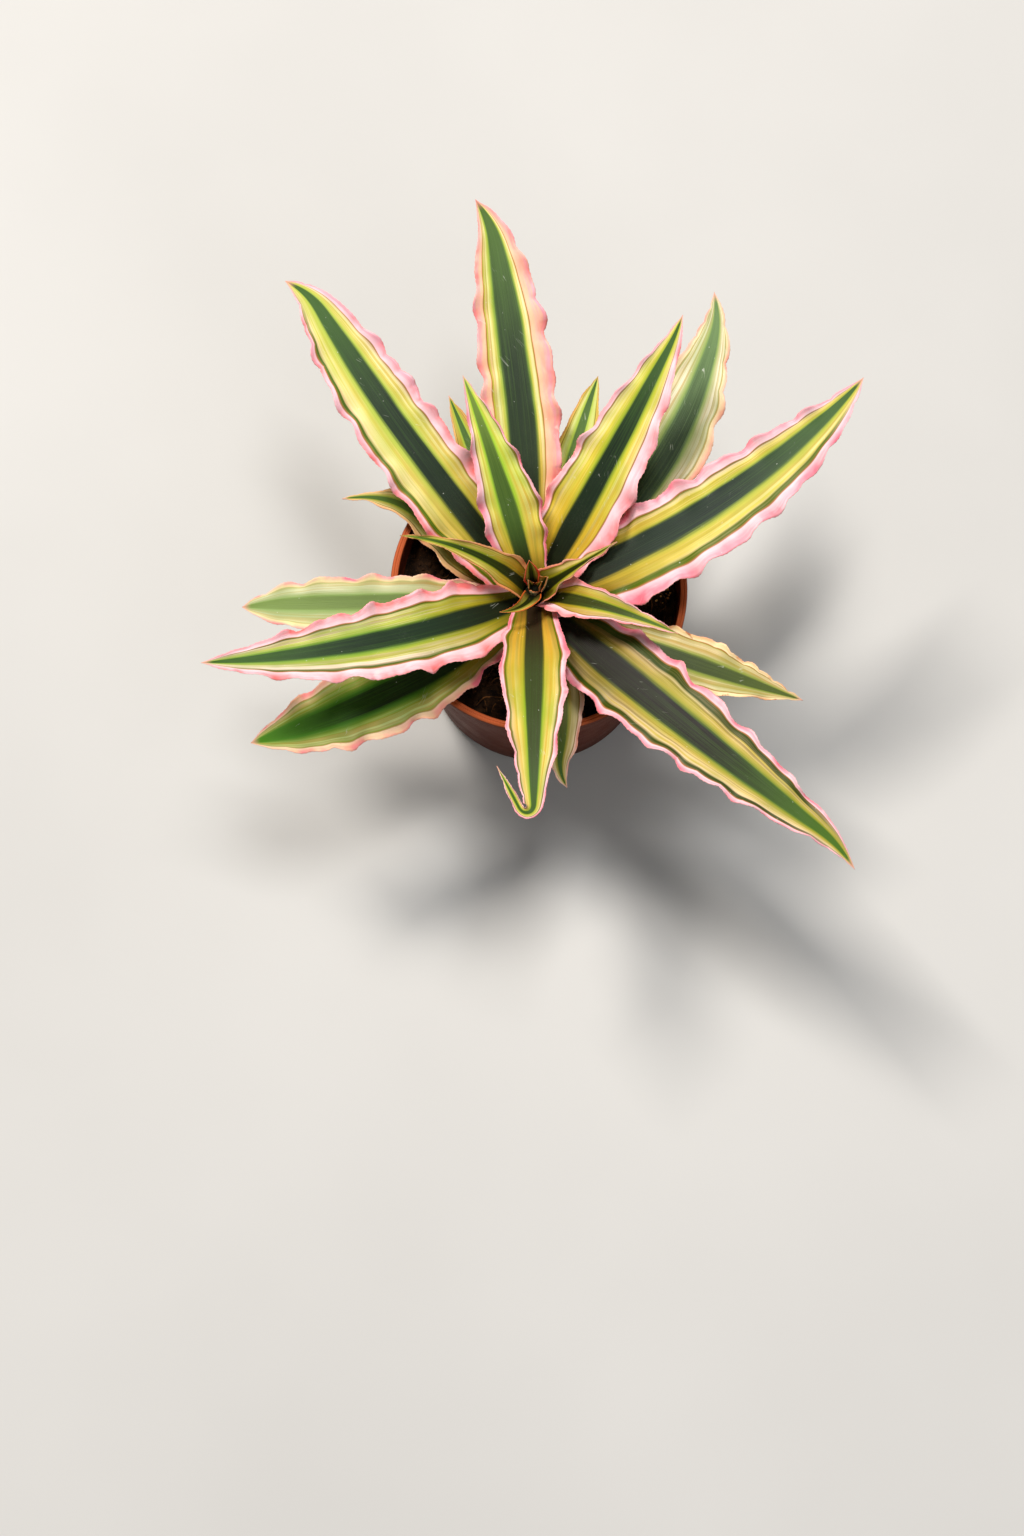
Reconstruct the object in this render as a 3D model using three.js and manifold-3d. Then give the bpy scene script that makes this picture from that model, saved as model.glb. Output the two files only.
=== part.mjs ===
// Earth star bromeliad in its round plastic pot: a flat rosette of wavy, striped leaves on a
// short stem that stands in soil.
//
// Millimetres, +Z up. The origin is the centre of the pot's flat bottom. +Y is called north.

import * as THREE from "three";
import { mergeVertices } from "three/addons/utils/BufferGeometryUtils.js";
import Module from "manifold-3d";

const wasm = await Module();
wasm.setup();

// ---------------------------------------------------------------- driving dimensions

const GAP = 0.3; // between pieces that touch

// Pot: a tapered wall with a deeper collar and a rolled rim.
const RIM_RADIUS = 60;
const POT_HEIGHT = 100;
const BASE_RADIUS = 47;
const WALL = 1.4;
const FLOOR = 1.8;
const COLLAR_DEPTH = 13;
const COLLAR_STEP = 1.5;
const LIP_WIDTH = 3;
const LIP_HEIGHT = 2.4;
const DRAIN_HOLES = 8;
const DRAIN_RADIUS = 4.5;
const DRAIN_CIRCLE = 34; // radius of the circle that the drain holes stand on
const POT_SIDES = 56;

// Soil: level a little under the rim, higher round the stem, with small lumps.
const SOIL_TOP = 88.5;
const SOIL_MOUND = 2.5;
const SOIL_LUMP = 0.9;
const SOIL_SIDES = 32;
const SOIL_RINGS = [51, 45, 38, 31, 24, 17, 10]; // radii of the rings of points on its top

// Stem: a short cone that the leaves grow from, set off the pot's centre.
const STEM_X = -2;
const STEM_Y = -6;
const STEM_TOP = 118.3;
const STEM_BOTTOM = 74;
const STEM_RADIUS = 6.6; // in the soil
const STEM_SIDES = 20;
const STEM_POINT = 2.5; // height of the pointed growing tip

// Leaf roots climb the stem in list order, from the youngest leaf at the top down.
const ROOT_TOP = 118.2;
const ROOT_PITCH = 1.2;
const ROOT_RADIUS_TOP = 3; // distance from the stem's axis to the highest root
const ROOT_RADIUS_PITCH = 0.28; // growth of that distance from one leaf to the next

// Leaf blade.
const EDGE_THICKNESS = 0.9;
const RIB_THICKNESS = 1.6; // on the midline at the root
const SEGMENT_LENGTH = 4;
const FEWEST_SEGMENTS = 14;
const ACROSS = [-1, -0.68, 0, 0.68, 1]; // where the blade's lines of points run, root to tip
const CUP_FADE = 0.3; // share of the length over which the root's cup opens
const WAVE_HEIGHT = 0.1; // of the edge, over the leaf's width
const SCALLOP = 0.055; // in and out movement of the edge, over the half width
const SECOND_WAVE = 1.63; // frequency of the smaller wave that breaks up the first
const SECOND_SHARE = 0.6; // its height, over the first one's
const GOLDEN = 0.618034; // turns each edge's wave against the others'
const TIP_HALF_WIDTH = 0.5;
const TAIL_HALF_WIDTH = 1.7; // where a leaf's thin tail starts

// What a leaf has where its line in the list doesn't say otherwise.
const PLAIN_LEAF = {
  bend: 0, // turn of the heading from root to tip, degrees, anticlockwise from above
  arch: 0.8, // under 1 the slope flattens early, over 1 late
  widest: 0.4, // where the blade is widest, as a share of the length
  neck: 0.55, // width at the root over the greatest width
  taper: 2, // how round the outline is from the widest place to the tip
  cup: 0.12, // how far the edges rise, over the half width
  rootCup: 0.14, // the same at the root
  roll: 0, // turn of the blade about its own midline, degrees
  waves: 6, // waves along each edge
  tail: 1, // where the blade has closed to a thin tail, as a share of the length
  curl: 0, // turn of the heading in the last stretch, degrees
  curlFrom: 0.8, // where that stretch starts
  curlTo: 1, // where it ends
};

// The rosette, youngest leaf first. azimuth is the way the root points, in degrees from +X;
// rise and droop are the slope at the root and at the tip, in degrees.
const LEAVES = [
  { name: "leaf_heart_west", azimuth: 258, length: 22, width: 7.4, rise: 60, droop: 14,
    widest: 0.2, neck: 0.86, taper: 1, cup: 0.5, rootCup: 0.5, waves: 1, bend: -72 },
  { name: "leaf_heart_south", azimuth: 15, length: 12, width: 5.4, rise: 84, droop: 78,
    neck: 0.75, cup: 0.6, rootCup: 0.5, waves: 1 },
  { name: "leaf_heart_north", azimuth: 103, length: 13, width: 6.5, rise: 80, droop: 55,
    neck: 0.75, cup: 0.55, rootCup: 0.5, waves: 1 },
  { name: "leaf_heart_northeast", azimuth: 14, bend: 14, length: 41, width: 13.4, rise: 60,
    droop: 20, arch: 1, widest: 0.14, neck: 0.9, taper: 0.8, cup: 0.45, rootCup: 0.55,
    roll: -30, waves: 3 },
  { name: "leaf_inner_northwest", azimuth: 152, bend: 27, length: 61, width: 14, rise: 58,
    droop: 10, widest: 0.25, neck: 0.84, taper: 0.75, cup: 0.34, rootCup: 0.5, roll: -10,
    waves: 3 },
  { name: "leaf_inner_east", azimuth: 338.6, bend: -4.5, length: 64, width: 16, rise: 52,
    droop: 2, widest: 0.25, neck: 0.65, taper: 1.1, cup: 0.3, rootCup: 0.45, roll: 10,
    waves: 3 },
  { name: "leaf_inner_north", azimuth: 107.7, bend: 6, length: 90, width: 24.5, rise: 48,
    droop: 18, arch: 1, widest: 0.35, neck: 0.62, taper: 1.4, waves: 5 },
  { name: "leaf_inner_south", azimuth: 269.7, bend: 0, length: 126, width: 26.5, rise: 42,
    droop: -10, arch: 1, widest: 0.27, neck: 0.64, taper: 1.7, waves: 5, curl: -153,
    curlFrom: 0.775, tail: 0.88, curlTo: 0.855 },
  { name: "leaf_northeast", azimuth: 55.5, bend: 8.5, length: 122, width: 32, rise: 36,
    droop: 10, taper: 1.9, curl: 6.5, curlFrom: 0.86, widest: 0.25 },
  { name: "leaf_west", azimuth: 210.5, bend: -29, length: 137, width: 32.5, rise: 34,
    droop: 0, widest: 0.24, neck: 0.55, taper: 2.2, waves: 7 },
  { name: "leaf_east", azimuth: 12, bend: 39, length: 156, width: 36, rise: 29,
    droop: 2, widest: 0.2, neck: 0.6, waves: 8, taper: 2.7, curl: 3, curlFrom: 0.86 },
  { name: "leaf_northwest", azimuth: 134, bend: -15, length: 158, width: 32, rise: 24,
    droop: 0, widest: 0.3, neck: 0.64, taper: 3.6, waves: 8, curl: 31, curlFrom: 0.86 },
  { name: "leaf_southeast", azimuth: 313, bend: 10.5, length: 167.5, width: 34.3, rise: 27,
    droop: -6, widest: 0.26, neck: 0.54, taper: 1.95, waves: 8, curl: -20, curlFrom: 0.85 },
  { name: "leaf_north", azimuth: 92, bend: 10, length: 159, width: 29.5, rise: 21,
    droop: 5, taper: 3.1, waves: 8, curl: 21, curlFrom: 0.84, neck: 0.54, widest: 0.4 },
  { name: "leaf_outer_west", azimuth: 185, bend: -6, length: 111, width: 22.5, rise: 17,
    droop: -8, widest: 0.4, taper: 4.5 },
  { name: "leaf_outer_northeast", azimuth: 39.4, bend: 40, length: 145, width: 34.5, rise: 16,
    droop: 0, widest: 0.5, taper: 1.5, waves: 7, curl: 17, curlFrom: 0.84 },
  { name: "leaf_outer_southwest", azimuth: 221, bend: -28, length: 122, width: 34, rise: 14,
    droop: -8, widest: 0.45, taper: 2.6, waves: 7, neck: 0.46 },
  { name: "leaf_outer_east", azimuth: 334.5, bend: 10, length: 108.5, width: 22.5, rise: 17,
    droop: -12, taper: 1.2, widest: 0.6 },
  { name: "leaf_low_northeast", azimuth: 76, bend: -4, length: 89.5, width: 15, rise: 21,
    droop: 0, arch: 0.9, taper: 3, waves: 4 },
  { name: "leaf_low_west", azimuth: 148, bend: -20, length: 84, width: 19, rise: 20,
    droop: -8, arch: 1, widest: 0.35, taper: 1.4, waves: 4, roll: 18, curl: 55, curlFrom: 0.5 },
  { name: "leaf_low_south", azimuth: 293.5, bend: -40, length: 73, width: 16.5, rise: 26,
    droop: -32, arch: 1.3, taper: 2.2, waves: 4, curl: 45, curlFrom: 0.78 },
  { name: "leaf_low_northwest", azimuth: 112, length: 85, width: 17, rise: 20, droop: 0,
    arch: 0.9, taper: 1.8, waves: 4 },
];

// ---------------------------------------------------------------- small helpers

const radians = THREE.MathUtils.degToRad;
const mix = THREE.MathUtils.lerp;
const smooth = (t) => THREE.MathUtils.smoothstep(t, 0, 1);

// A closed geometry as a manifold solid, with its shared vertices merged.
function solidOf(geometry) {
  const bare = geometry.clone();
  bare.deleteAttribute("normal");
  bare.deleteAttribute("uv");
  const merged = mergeVertices(bare);
  return new wasm.Manifold(new wasm.Mesh({
    numProp: 3,
    vertProperties: merged.getAttribute("position").array,
    triVerts: new Uint32Array(merged.index.array),
  }));
}

// A manifold solid as a flat-shaded geometry.
function geometryOf(solid) {
  const mesh = solid.getMesh();
  const indexed = new THREE.BufferGeometry();
  indexed.setAttribute("position", new THREE.BufferAttribute(mesh.vertProperties, 3));
  indexed.setIndex(new THREE.BufferAttribute(mesh.triVerts, 1));
  const geometry = indexed.toNonIndexed();
  geometry.computeVertexNormals();
  return geometry;
}

// A profile of [radius, height] pairs turned round the Z axis.
function turned(profile, sides) {
  const points = profile.map(([radius, height]) => new THREE.Vector2(radius, height));
  return new THREE.LatheGeometry(points, sides).rotateX(Math.PI / 2);
}

// A plain upright cylinder that stands on height z, for cutting holes.
function upright(radius, height, x, y, z, sides) {
  return new THREE.CylinderGeometry(radius, radius, height, sides)
    .rotateX(Math.PI / 2)
    .translate(x, y, z + height / 2);
}

// ---------------------------------------------------------------- pot

const COLLAR_BOTTOM = POT_HEIGHT - COLLAR_DEPTH;
const COLLAR_RADIUS = RIM_RADIUS - 1.2; // outside, just under the lip
const WALL_TOP_RADIUS = COLLAR_RADIUS - 1 - COLLAR_STEP; // outside, just under the collar

// Inner radius of the pot at a height below the collar.
const innerRadius = (z) =>
  mix(BASE_RADIUS, WALL_TOP_RADIUS, z / COLLAR_BOTTOM) - WALL;

function potGeometry() {
  const foot = 1.5; // bevel round the base
  const round = 0.7; // rounding of the lip
  const lipInside = RIM_RADIUS - LIP_WIDTH;
  const profile = [
    [0, 0],
    [BASE_RADIUS - foot, 0],
    [BASE_RADIUS, foot],
    [WALL_TOP_RADIUS, COLLAR_BOTTOM],
    [COLLAR_RADIUS - 0.8, COLLAR_BOTTOM + 0.8],
    [COLLAR_RADIUS, POT_HEIGHT - LIP_HEIGHT],
    [RIM_RADIUS, POT_HEIGHT - LIP_HEIGHT + round],
    [RIM_RADIUS, POT_HEIGHT - round],
    [RIM_RADIUS - round, POT_HEIGHT],
    [lipInside + round, POT_HEIGHT],
    [lipInside, POT_HEIGHT - round],
    [lipInside - 0.6, COLLAR_BOTTOM + 1.5],
    [innerRadius(COLLAR_BOTTOM - 1), COLLAR_BOTTOM - 1],
    [innerRadius(FLOOR), FLOOR],
    [0, FLOOR],
  ];
  let pot = solidOf(turned(profile, POT_SIDES));
  for (let i = 0; i < DRAIN_HOLES; i++) {
    const angle = (2 * Math.PI * (i + 0.5)) / DRAIN_HOLES;
    const x = DRAIN_CIRCLE * Math.cos(angle);
    const y = DRAIN_CIRCLE * Math.sin(angle);
    pot = pot.subtract(solidOf(upright(DRAIN_RADIUS, FLOOR + 2, x, y, -1, 16)));
  }
  return geometryOf(pot);
}

// ---------------------------------------------------------------- stem and soil

// Distance of the leaf roots from the stem's axis at a height.
const rootRadius = (z) =>
  ROOT_RADIUS_TOP + ((ROOT_TOP - z) * ROOT_RADIUS_PITCH) / ROOT_PITCH;

// Radius of the stem at a height: it stays clear of the leaf roots.
const stemRadius = (z) => Math.min(rootRadius(z) - 2 * GAP, STEM_RADIUS);

function stemGeometry() {
  const heights = [STEM_BOTTOM + 5, 96, 104, 111, STEM_TOP - STEM_POINT];
  const profile = [
    [0, STEM_BOTTOM],
    [STEM_RADIUS * 0.6, STEM_BOTTOM + 1],
    ...heights.map((z) => [stemRadius(z), z]),
    [stemRadius(STEM_TOP) * 0.3, STEM_TOP],
    [0, STEM_TOP],
  ];
  return turned(profile, STEM_SIDES).translate(STEM_X, STEM_Y, 0);
}

// Height of the soil at a place: a mound round the stem, and lumps that fade to the edge.
function soilHeight(x, y) {
  const fromStem = Math.hypot(x - STEM_X, y - STEM_Y);
  const fromPot = Math.hypot(x, y);
  const lumps = Math.sin(x * 0.31 + 1) * Math.cos(y * 0.27) + 0.6 * Math.sin(x * 0.7 - y * 0.55);
  const fade = 1 - smooth((fromPot - 40) / 12);
  return SOIL_TOP + SOIL_MOUND * (1 - smooth(fromStem / 40)) + SOIL_LUMP * lumps * fade;
}

function soilGeometry() {
  const bottom = FLOOR + GAP;
  const step = COLLAR_BOTTOM - 1;
  const profile = [
    [0, bottom],
    [innerRadius(bottom) - GAP, bottom],
    [innerRadius(step) - GAP, step],
    [innerRadius(step) + 0.4, SOIL_TOP],
    ...SOIL_RINGS.map((radius) => [radius, SOIL_TOP]),
    [0, SOIL_TOP],
  ];
  const body = turned(profile, SOIL_SIDES);
  const position = body.getAttribute("position");
  for (let i = 0; i < position.count; i++) {
    const x = position.getX(i);
    const y = position.getY(i);
    if (position.getZ(i) > SOIL_TOP - 0.01 && Math.hypot(x, y) < SOIL_RINGS[0] + 0.1) {
      position.setZ(i, soilHeight(x, y));
    }
  }
  const holeBottom = STEM_BOTTOM - GAP;
  const hole = upright(STEM_RADIUS + GAP, 40, STEM_X, STEM_Y, holeBottom, STEM_SIDES);
  return geometryOf(solidOf(body).subtract(solidOf(hole)));
}

// ---------------------------------------------------------------- leaves

// Half the blade's width at a share u of its length.
function halfWidth(leaf, u) {
  const opening = leaf.neck + (1 - leaf.neck) * smooth(u / leaf.widest);
  const past = Math.max(0, (u - leaf.widest) / (leaf.tail - leaf.widest));
  const closing = Math.max(0, 1 - past ** leaf.taper);
  const thinning = smooth((u - leaf.tail) / Math.max(1 - leaf.tail, 0.01));
  const least = leaf.tail < 1 ? mix(TAIL_HALF_WIDTH, TIP_HALF_WIDTH, thinning) : TIP_HALF_WIDTH;
  return Math.max(least, (leaf.width / 2) * opening * closing);
}

// Heading and slope of the midline at u, in radians.
function direction(leaf, u) {
  const turn = smooth((u - leaf.curlFrom) / (leaf.curlTo - leaf.curlFrom));
  return {
    heading: radians(leaf.azimuth + leaf.bend * u + leaf.curl * turn),
    slope: radians(mix(leaf.rise, leaf.droop, u ** leaf.arch)),
  };
}

function forward({ heading, slope }) {
  return new THREE.Vector3(
    Math.cos(slope) * Math.cos(heading),
    Math.cos(slope) * Math.sin(heading),
    Math.sin(slope),
  );
}

// Points and cross directions along the midline, walked from the root in equal steps.
function midline(leaf, order, segments) {
  const height = ROOT_TOP - order * ROOT_PITCH;
  const reach = rootRadius(height);
  const azimuth = radians(leaf.azimuth);
  const place = new THREE.Vector3(
    STEM_X + reach * Math.cos(azimuth),
    STEM_Y + reach * Math.sin(azimuth),
    height,
  );
  const stations = [];
  for (let i = 0; i <= segments; i++) {
    const u = i / segments;
    const way = direction(leaf, u);
    const along = forward(way);
    const side = new THREE.Vector3(-Math.sin(way.heading), Math.cos(way.heading), 0);
    side.applyAxisAngle(along, radians(leaf.roll) * smooth(1.4 * u));
    const up = new THREE.Vector3().crossVectors(along, side);
    stations.push({ u, centre: place.clone(), side, up });
    const half = (i + 0.5) / segments;
    place.addScaledVector(forward(direction(leaf, half)), leaf.length / segments);
  }
  return stations;
}

// The wave of one edge: side is -1 or 1. It fades out at the root and at the tip.
function edgeWave(leaf, order, u, side) {
  const phase = 2 * Math.PI * (((2 * order + (side > 0 ? 1 : 0) + 1) * GOLDEN) % 1);
  const turn = 2 * Math.PI * leaf.waves * u;
  const second = SECOND_WAVE * turn + 2.1 * phase;
  const fade = smooth(u / 0.25) * smooth((1 - u) / 0.2);
  return {
    lift: fade * (Math.sin(turn + phase) + SECOND_SHARE * Math.sin(second)),
    push: fade * (Math.cos(turn + phase) + SECOND_SHARE * Math.cos(second)),
  };
}

// A closed blade: an upper and a lower face with the same triangles, joined round the edge.
function leafGeometry(leaf, order) {
  const segments = Math.max(FEWEST_SEGMENTS, Math.round(leaf.length / SEGMENT_LENGTH));
  const columns = ACROSS.length;
  const upper = [];
  const lower = [];
  for (const { u, centre, side, up } of midline(leaf, order, segments)) {
    const half = halfWidth(leaf, u);
    const cup = mix(leaf.rootCup, leaf.cup, smooth(u / CUP_FADE));
    const rib = mix(RIB_THICKNESS, EDGE_THICKNESS, u);
    for (const v of ACROSS) {
      const bite = Math.abs(v) ** 3; // how much of the edge's wave is felt at v
      const { lift, push } = edgeWave(leaf, order, u, v);
      const across = v * half * (1 + SCALLOP * push * bite);
      const rise = cup * half * v * v + (WAVE_HEIGHT * leaf.width * lift * bite) / 2;
      const point = centre.clone().addScaledVector(side, across).addScaledVector(up, rise);
      const thickness = mix(rib, EDGE_THICKNESS, v * v);
      upper.push(point);
      lower.push(point.clone().addScaledVector(up, -thickness));
    }
  }
  const corners = upper.length;
  const index = [];
  const quad = (a, b, c, d) => index.push(a, b, c, a, c, d);
  for (let i = 0; i < segments; i++) {
    for (let j = 0; j < columns - 1; j++) {
      const a = i * columns + j;
      const b = a + columns;
      index.push(a, b, b + 1, a, b + 1, a + 1);
      index.push(corners + a, corners + b + 1, corners + b);
      index.push(corners + a, corners + a + 1, corners + b + 1);
    }
    const right = i * columns;
    const left = right + columns - 1;
    quad(right, corners + right, corners + right + columns, right + columns);
    quad(left, left + columns, corners + left + columns, corners + left);
  }
  for (let j = 0; j < columns - 1; j++) {
    const end = segments * columns + j;
    quad(j, j + 1, corners + j + 1, corners + j);
    quad(end, corners + end, corners + end + 1, end + 1);
  }
  const indexed = new THREE.BufferGeometry();
  const coordinates = [...upper, ...lower].flatMap((point) => point.toArray());
  indexed.setAttribute("position", new THREE.Float32BufferAttribute(coordinates, 3));
  indexed.setIndex(index);
  const geometry = indexed.toNonIndexed();
  geometry.computeVertexNormals();
  return geometry;
}

// ---------------------------------------------------------------- assembly

const finishes = {
  pot: new THREE.MeshStandardMaterial({ color: 0x8a4a33, roughness: 0.5, metalness: 0 }),
  soil: new THREE.MeshStandardMaterial({ color: 0x1c1511, roughness: 0.95, metalness: 0 }),
  stem: new THREE.MeshStandardMaterial({ color: 0x7b7f4a, roughness: 0.7, metalness: 0 }),
  leaf: new THREE.MeshStandardMaterial({ color: 0xa9b85a, roughness: 0.45, metalness: 0 }),
};

function piece(name, geometry, finish) {
  const mesh = new THREE.Mesh(geometry, finish.clone());
  mesh.name = name;
  return mesh;
}

const plant = new THREE.Group();
plant.add(piece("stem", stemGeometry(), finishes.stem));
LEAVES.forEach((line, order) => {
  const leaf = { ...PLAIN_LEAF, ...line };
  plant.add(piece(leaf.name, leafGeometry(leaf, order), finishes.leaf));
});

const part = new THREE.Group();
part.add(piece("pot", potGeometry(), finishes.pot));
part.add(piece("soil", soilGeometry(), finishes.soil));
part.add(plant);

export default part;
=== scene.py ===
"""Earth star bromeliad in its pot: the finish of every leaf, the stem, the soil and the pot.

Metres and degrees, +Z up, +Y north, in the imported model's frame. Each leaf is a fine blade on
the same midline as its solid and takes that solid's place in the rosette. The bud's leaflets at
the stem's tip stand for no solid.
"""

import logging
import math
from dataclasses import dataclass, replace
from enum import Enum
from typing import Callable, Sequence

import bmesh
import bpy
import numpy as np
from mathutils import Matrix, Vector, noise


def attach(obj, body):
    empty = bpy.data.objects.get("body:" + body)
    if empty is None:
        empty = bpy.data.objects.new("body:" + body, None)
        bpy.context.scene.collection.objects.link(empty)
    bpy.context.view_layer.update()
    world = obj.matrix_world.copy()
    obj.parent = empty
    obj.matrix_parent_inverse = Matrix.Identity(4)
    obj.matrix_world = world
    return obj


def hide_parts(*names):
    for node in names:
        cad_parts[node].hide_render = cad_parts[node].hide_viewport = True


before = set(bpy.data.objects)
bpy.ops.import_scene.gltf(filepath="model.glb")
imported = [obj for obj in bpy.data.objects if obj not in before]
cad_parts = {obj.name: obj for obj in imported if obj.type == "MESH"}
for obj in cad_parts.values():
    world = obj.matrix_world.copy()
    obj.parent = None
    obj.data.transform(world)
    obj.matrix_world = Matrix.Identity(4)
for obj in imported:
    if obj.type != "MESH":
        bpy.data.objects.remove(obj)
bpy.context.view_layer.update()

log = logging.getLogger("earth_star")

MM = 0.001
BODY = "root"
GOLDEN = 0.618034  # spreads the leaves' waves so that no two start alike

# Where the stem stands and where the leaf roots sit on it, in millimetres.
STEM_PLACE = (-2.0, -6.0)
ROOT_TOP = 118.2  # height of the first root
ROOT_PITCH = 1.2  # how much lower each next one is
ROOT_RADIUS = 3.0  # the first root's distance from the stem's axis
ROOT_RADIUS_PITCH = 0.28  # how much further out each next one is


class Slot(Enum):
    """The record's material slots."""

    POT = "pot"
    SOIL = "soil"
    STEM = "stem"
    LEAF = "leaf"


Socket = bpy.types.NodeSocket
Value = float | Socket
Colour = tuple[float, float, float, float]
Pair = tuple[float, float]
Triple = tuple[float, float, float]


# ------------------------------------------------------------------ small helpers


def tone(code: str) -> Colour:
    """Turns a colour as seen on screen into the linear one that shaders use.

    Args:
        code: six hex digits, red first.

    Returns:
        Linear red, green, blue and an alpha of 1.
    """
    parts = [int(code[i:i + 2], 16) / 255 for i in (0, 2, 4)]
    linear = [p / 12.92 if p <= 0.04045 else ((p + 0.055) / 1.055) ** 2.4 for p in parts]
    return (*linear, 1.0)


def smooth(t: np.ndarray | float) -> np.ndarray | float:
    """Eases from 0 to 1 as t goes from 0 to 1."""
    t = np.clip(t, 0.0, 1.0)
    return t * t * (3.0 - 2.0 * t)


def mix(a: np.ndarray | float, b: np.ndarray | float, t: np.ndarray | float) -> np.ndarray | float:
    """Goes from a to b as t goes from 0 to 1."""
    return a + (b - a) * t


def straight(start: Pair, end: Pair, count: int) -> list[Pair]:
    """Lists evenly spaced points from start to end."""
    return [(float(mix(start[0], end[0], t)), float(mix(start[1], end[1], t)))
            for t in np.linspace(0, 1, count)]


def circle(radius: float, z: float, sides: int, centre: Pair = (0.0, 0.0)) -> list[Triple]:
    """Lists the points of a level ring."""
    return [(centre[0] + radius * math.cos(a), centre[1] + radius * math.sin(a), z)
            for a in np.linspace(0, 2 * math.pi, sides, endpoint=False)]


def make_object(name: str, vertices: np.ndarray, faces: Sequence[Sequence[int]],
                even: bool = True) -> bpy.types.Object:
    """Makes a mesh object that sits at the origin.

    Args:
        name: the piece's name.
        vertices: an array of points, one a row.
        faces: corner numbers of each face, anticlockwise seen from outside.
        even: whether it is shaded smooth.

    Returns:
        The new object, linked to the scene.
    """
    mesh = bpy.data.meshes.new(name)
    mesh.from_pydata(np.asarray(vertices).tolist(), [], [list(map(int, f)) for f in faces])
    mesh.validate()
    if even:
        mesh.shade_smooth()
    made = bpy.data.objects.new(name, mesh)
    bpy.context.scene.collection.objects.link(made)
    return made


def settle(piece: bpy.types.Object, slot: Slot, material: bpy.types.Material,
           *nodes: str) -> None:
    """Dresses a piece and says what it rides on and stands for.

    Args:
        piece: the finished mesh object.
        slot: the record's material slot; not used.
        material: its finish.
        nodes: the solids that it stands for.
    """
    piece.data.materials.clear()
    piece.data.materials.append(material)
    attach(piece, BODY)
    if nodes:
        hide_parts(*nodes)
    log.info("%s: %d faces, stands for %s", piece.name, len(piece.data.polygons),
             ", ".join(nodes) or "nothing of its own")


class Graph:
    """Writes shader nodes in short lines."""

    def __init__(self, tree: bpy.types.NodeTree) -> None:
        """Keeps the tree that nodes go in."""
        self.tree = tree

    def node(self, kind: str, *values: Value | Colour | Sequence[float] | None,
             **settings: object) -> bpy.types.Node:
        """Adds a node.

        Args:
            kind: the node's type without its ShaderNode prefix.
            values: what goes in its input sockets, in order; None leaves one as it is.
            settings: attributes of the node.

        Returns:
            The node.
        """
        made = self.tree.nodes.new("ShaderNode" + kind)
        for key, value in settings.items():
            setattr(made, key, value)
        for socket, value in zip(made.inputs, values):
            self.put(socket, value)
        return made

    def put(self, socket: Socket, value: Value | Colour | Sequence[float] | None) -> None:
        """Links or sets one input.

        Args:
            socket: the input.
            value: another node's output, a constant, or None to leave it.
        """
        if isinstance(value, bpy.types.NodeSocket):
            self.tree.links.new(value, socket)
        elif value is not None:
            socket.default_value = value

    def math(self, operation: str, a: Value, b: Value | None = None,
             clamp: bool = False) -> Socket:
        """Works out one sum and returns its socket.

        Args:
            operation: Blender's name for it.
            a: the first value.
            b: the second value, where it has one.
            clamp: whether the result is kept from 0 to 1.

        Returns:
            The result's socket.
        """
        return self.node("Math", a, b, operation=operation, use_clamp=clamp).outputs[0]

    def add(self, a: Value, b: Value) -> Socket:
        """Adds two values."""
        return self.math("ADD", a, b)

    def less(self, a: Value, b: Value) -> Socket:
        """Takes b from a."""
        return self.math("SUBTRACT", a, b)

    def times(self, a: Value, b: Value) -> Socket:
        """Multiplies two values."""
        return self.math("MULTIPLY", a, b)

    def off_middle(self, value: Socket, reach: float) -> Socket:
        """Turns a noise about 0.5 into one about 0, scaled by reach."""
        return self.times(self.less(value, 0.5), reach)

    def step(self, value: Value, low: Value, high: Value, start: Value = 0.0,
             end: Value = 1.0) -> Socket:
        """Eases from start to end as value goes from low to high.

        Args:
            value: what is measured.
            low: where the result is start.
            high: where the result is end.
            start: the result at low.
            end: the result at high.

        Returns:
            The result's socket.
        """
        made = self.node("MapRange", value, low, high, start, end,
                         interpolation_type="SMOOTHSTEP")
        return made.outputs[0]

    def blend(self, factor: Value, a: Socket | Colour, b: Socket | Colour) -> Socket:
        """Mixes two colours.

        Args:
            factor: 0 gives a and 1 gives b.
            a: the colour underneath.
            b: the colour on top.

        Returns:
            The mixed colour's socket.
        """
        made = self.node("Mix", data_type="RGBA", blend_type="MIX", clamp_factor=True)
        self.put(made.inputs[0], factor)
        self.put(made.inputs[6], a)
        self.put(made.inputs[7], b)
        return made.outputs[2]

    def coats(self, colour: Socket | Colour, *coats: tuple[Value, Socket | Colour]) -> Socket:
        """Lays coats over a colour.

        Args:
            colour: the colour underneath.
            coats: each coat's mask and colour, the lowest first.

        Returns:
            The final colour's socket.
        """
        for mask, coat in coats:
            colour = self.blend(mask, colour, coat)
        return colour

    def scaled(self, vector: Socket, scale: Sequence[float]) -> Socket:
        """Stretches a vector.

        Args:
            vector: its socket.
            scale: a factor for each axis.

        Returns:
            The stretched vector's socket.
        """
        return self.node("VectorMath", vector, scale, operation="MULTIPLY").outputs[0]

    def noise(self, vector: Socket, scale: float, detail: float = 2.0,
              rough: float = 0.5) -> Socket:
        """Adds a noise texture.

        Args:
            vector: where it is read.
            scale: lumps to a unit.
            detail: how many finer layers it has.
            rough: how strong those layers are.

        Returns:
            Its value's socket, about 0.5 on average.
        """
        made = self.node("TexNoise", noise_dimensions="3D")
        self.put(made.inputs["Vector"], vector)
        made.inputs["Scale"].default_value = scale
        made.inputs["Detail"].default_value = detail
        made.inputs["Roughness"].default_value = rough
        return made.outputs[0]


FLOAT, COLOUR, VECTOR = "NodeSocketFloat", "NodeSocketColor", "NodeSocketVector"


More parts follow.
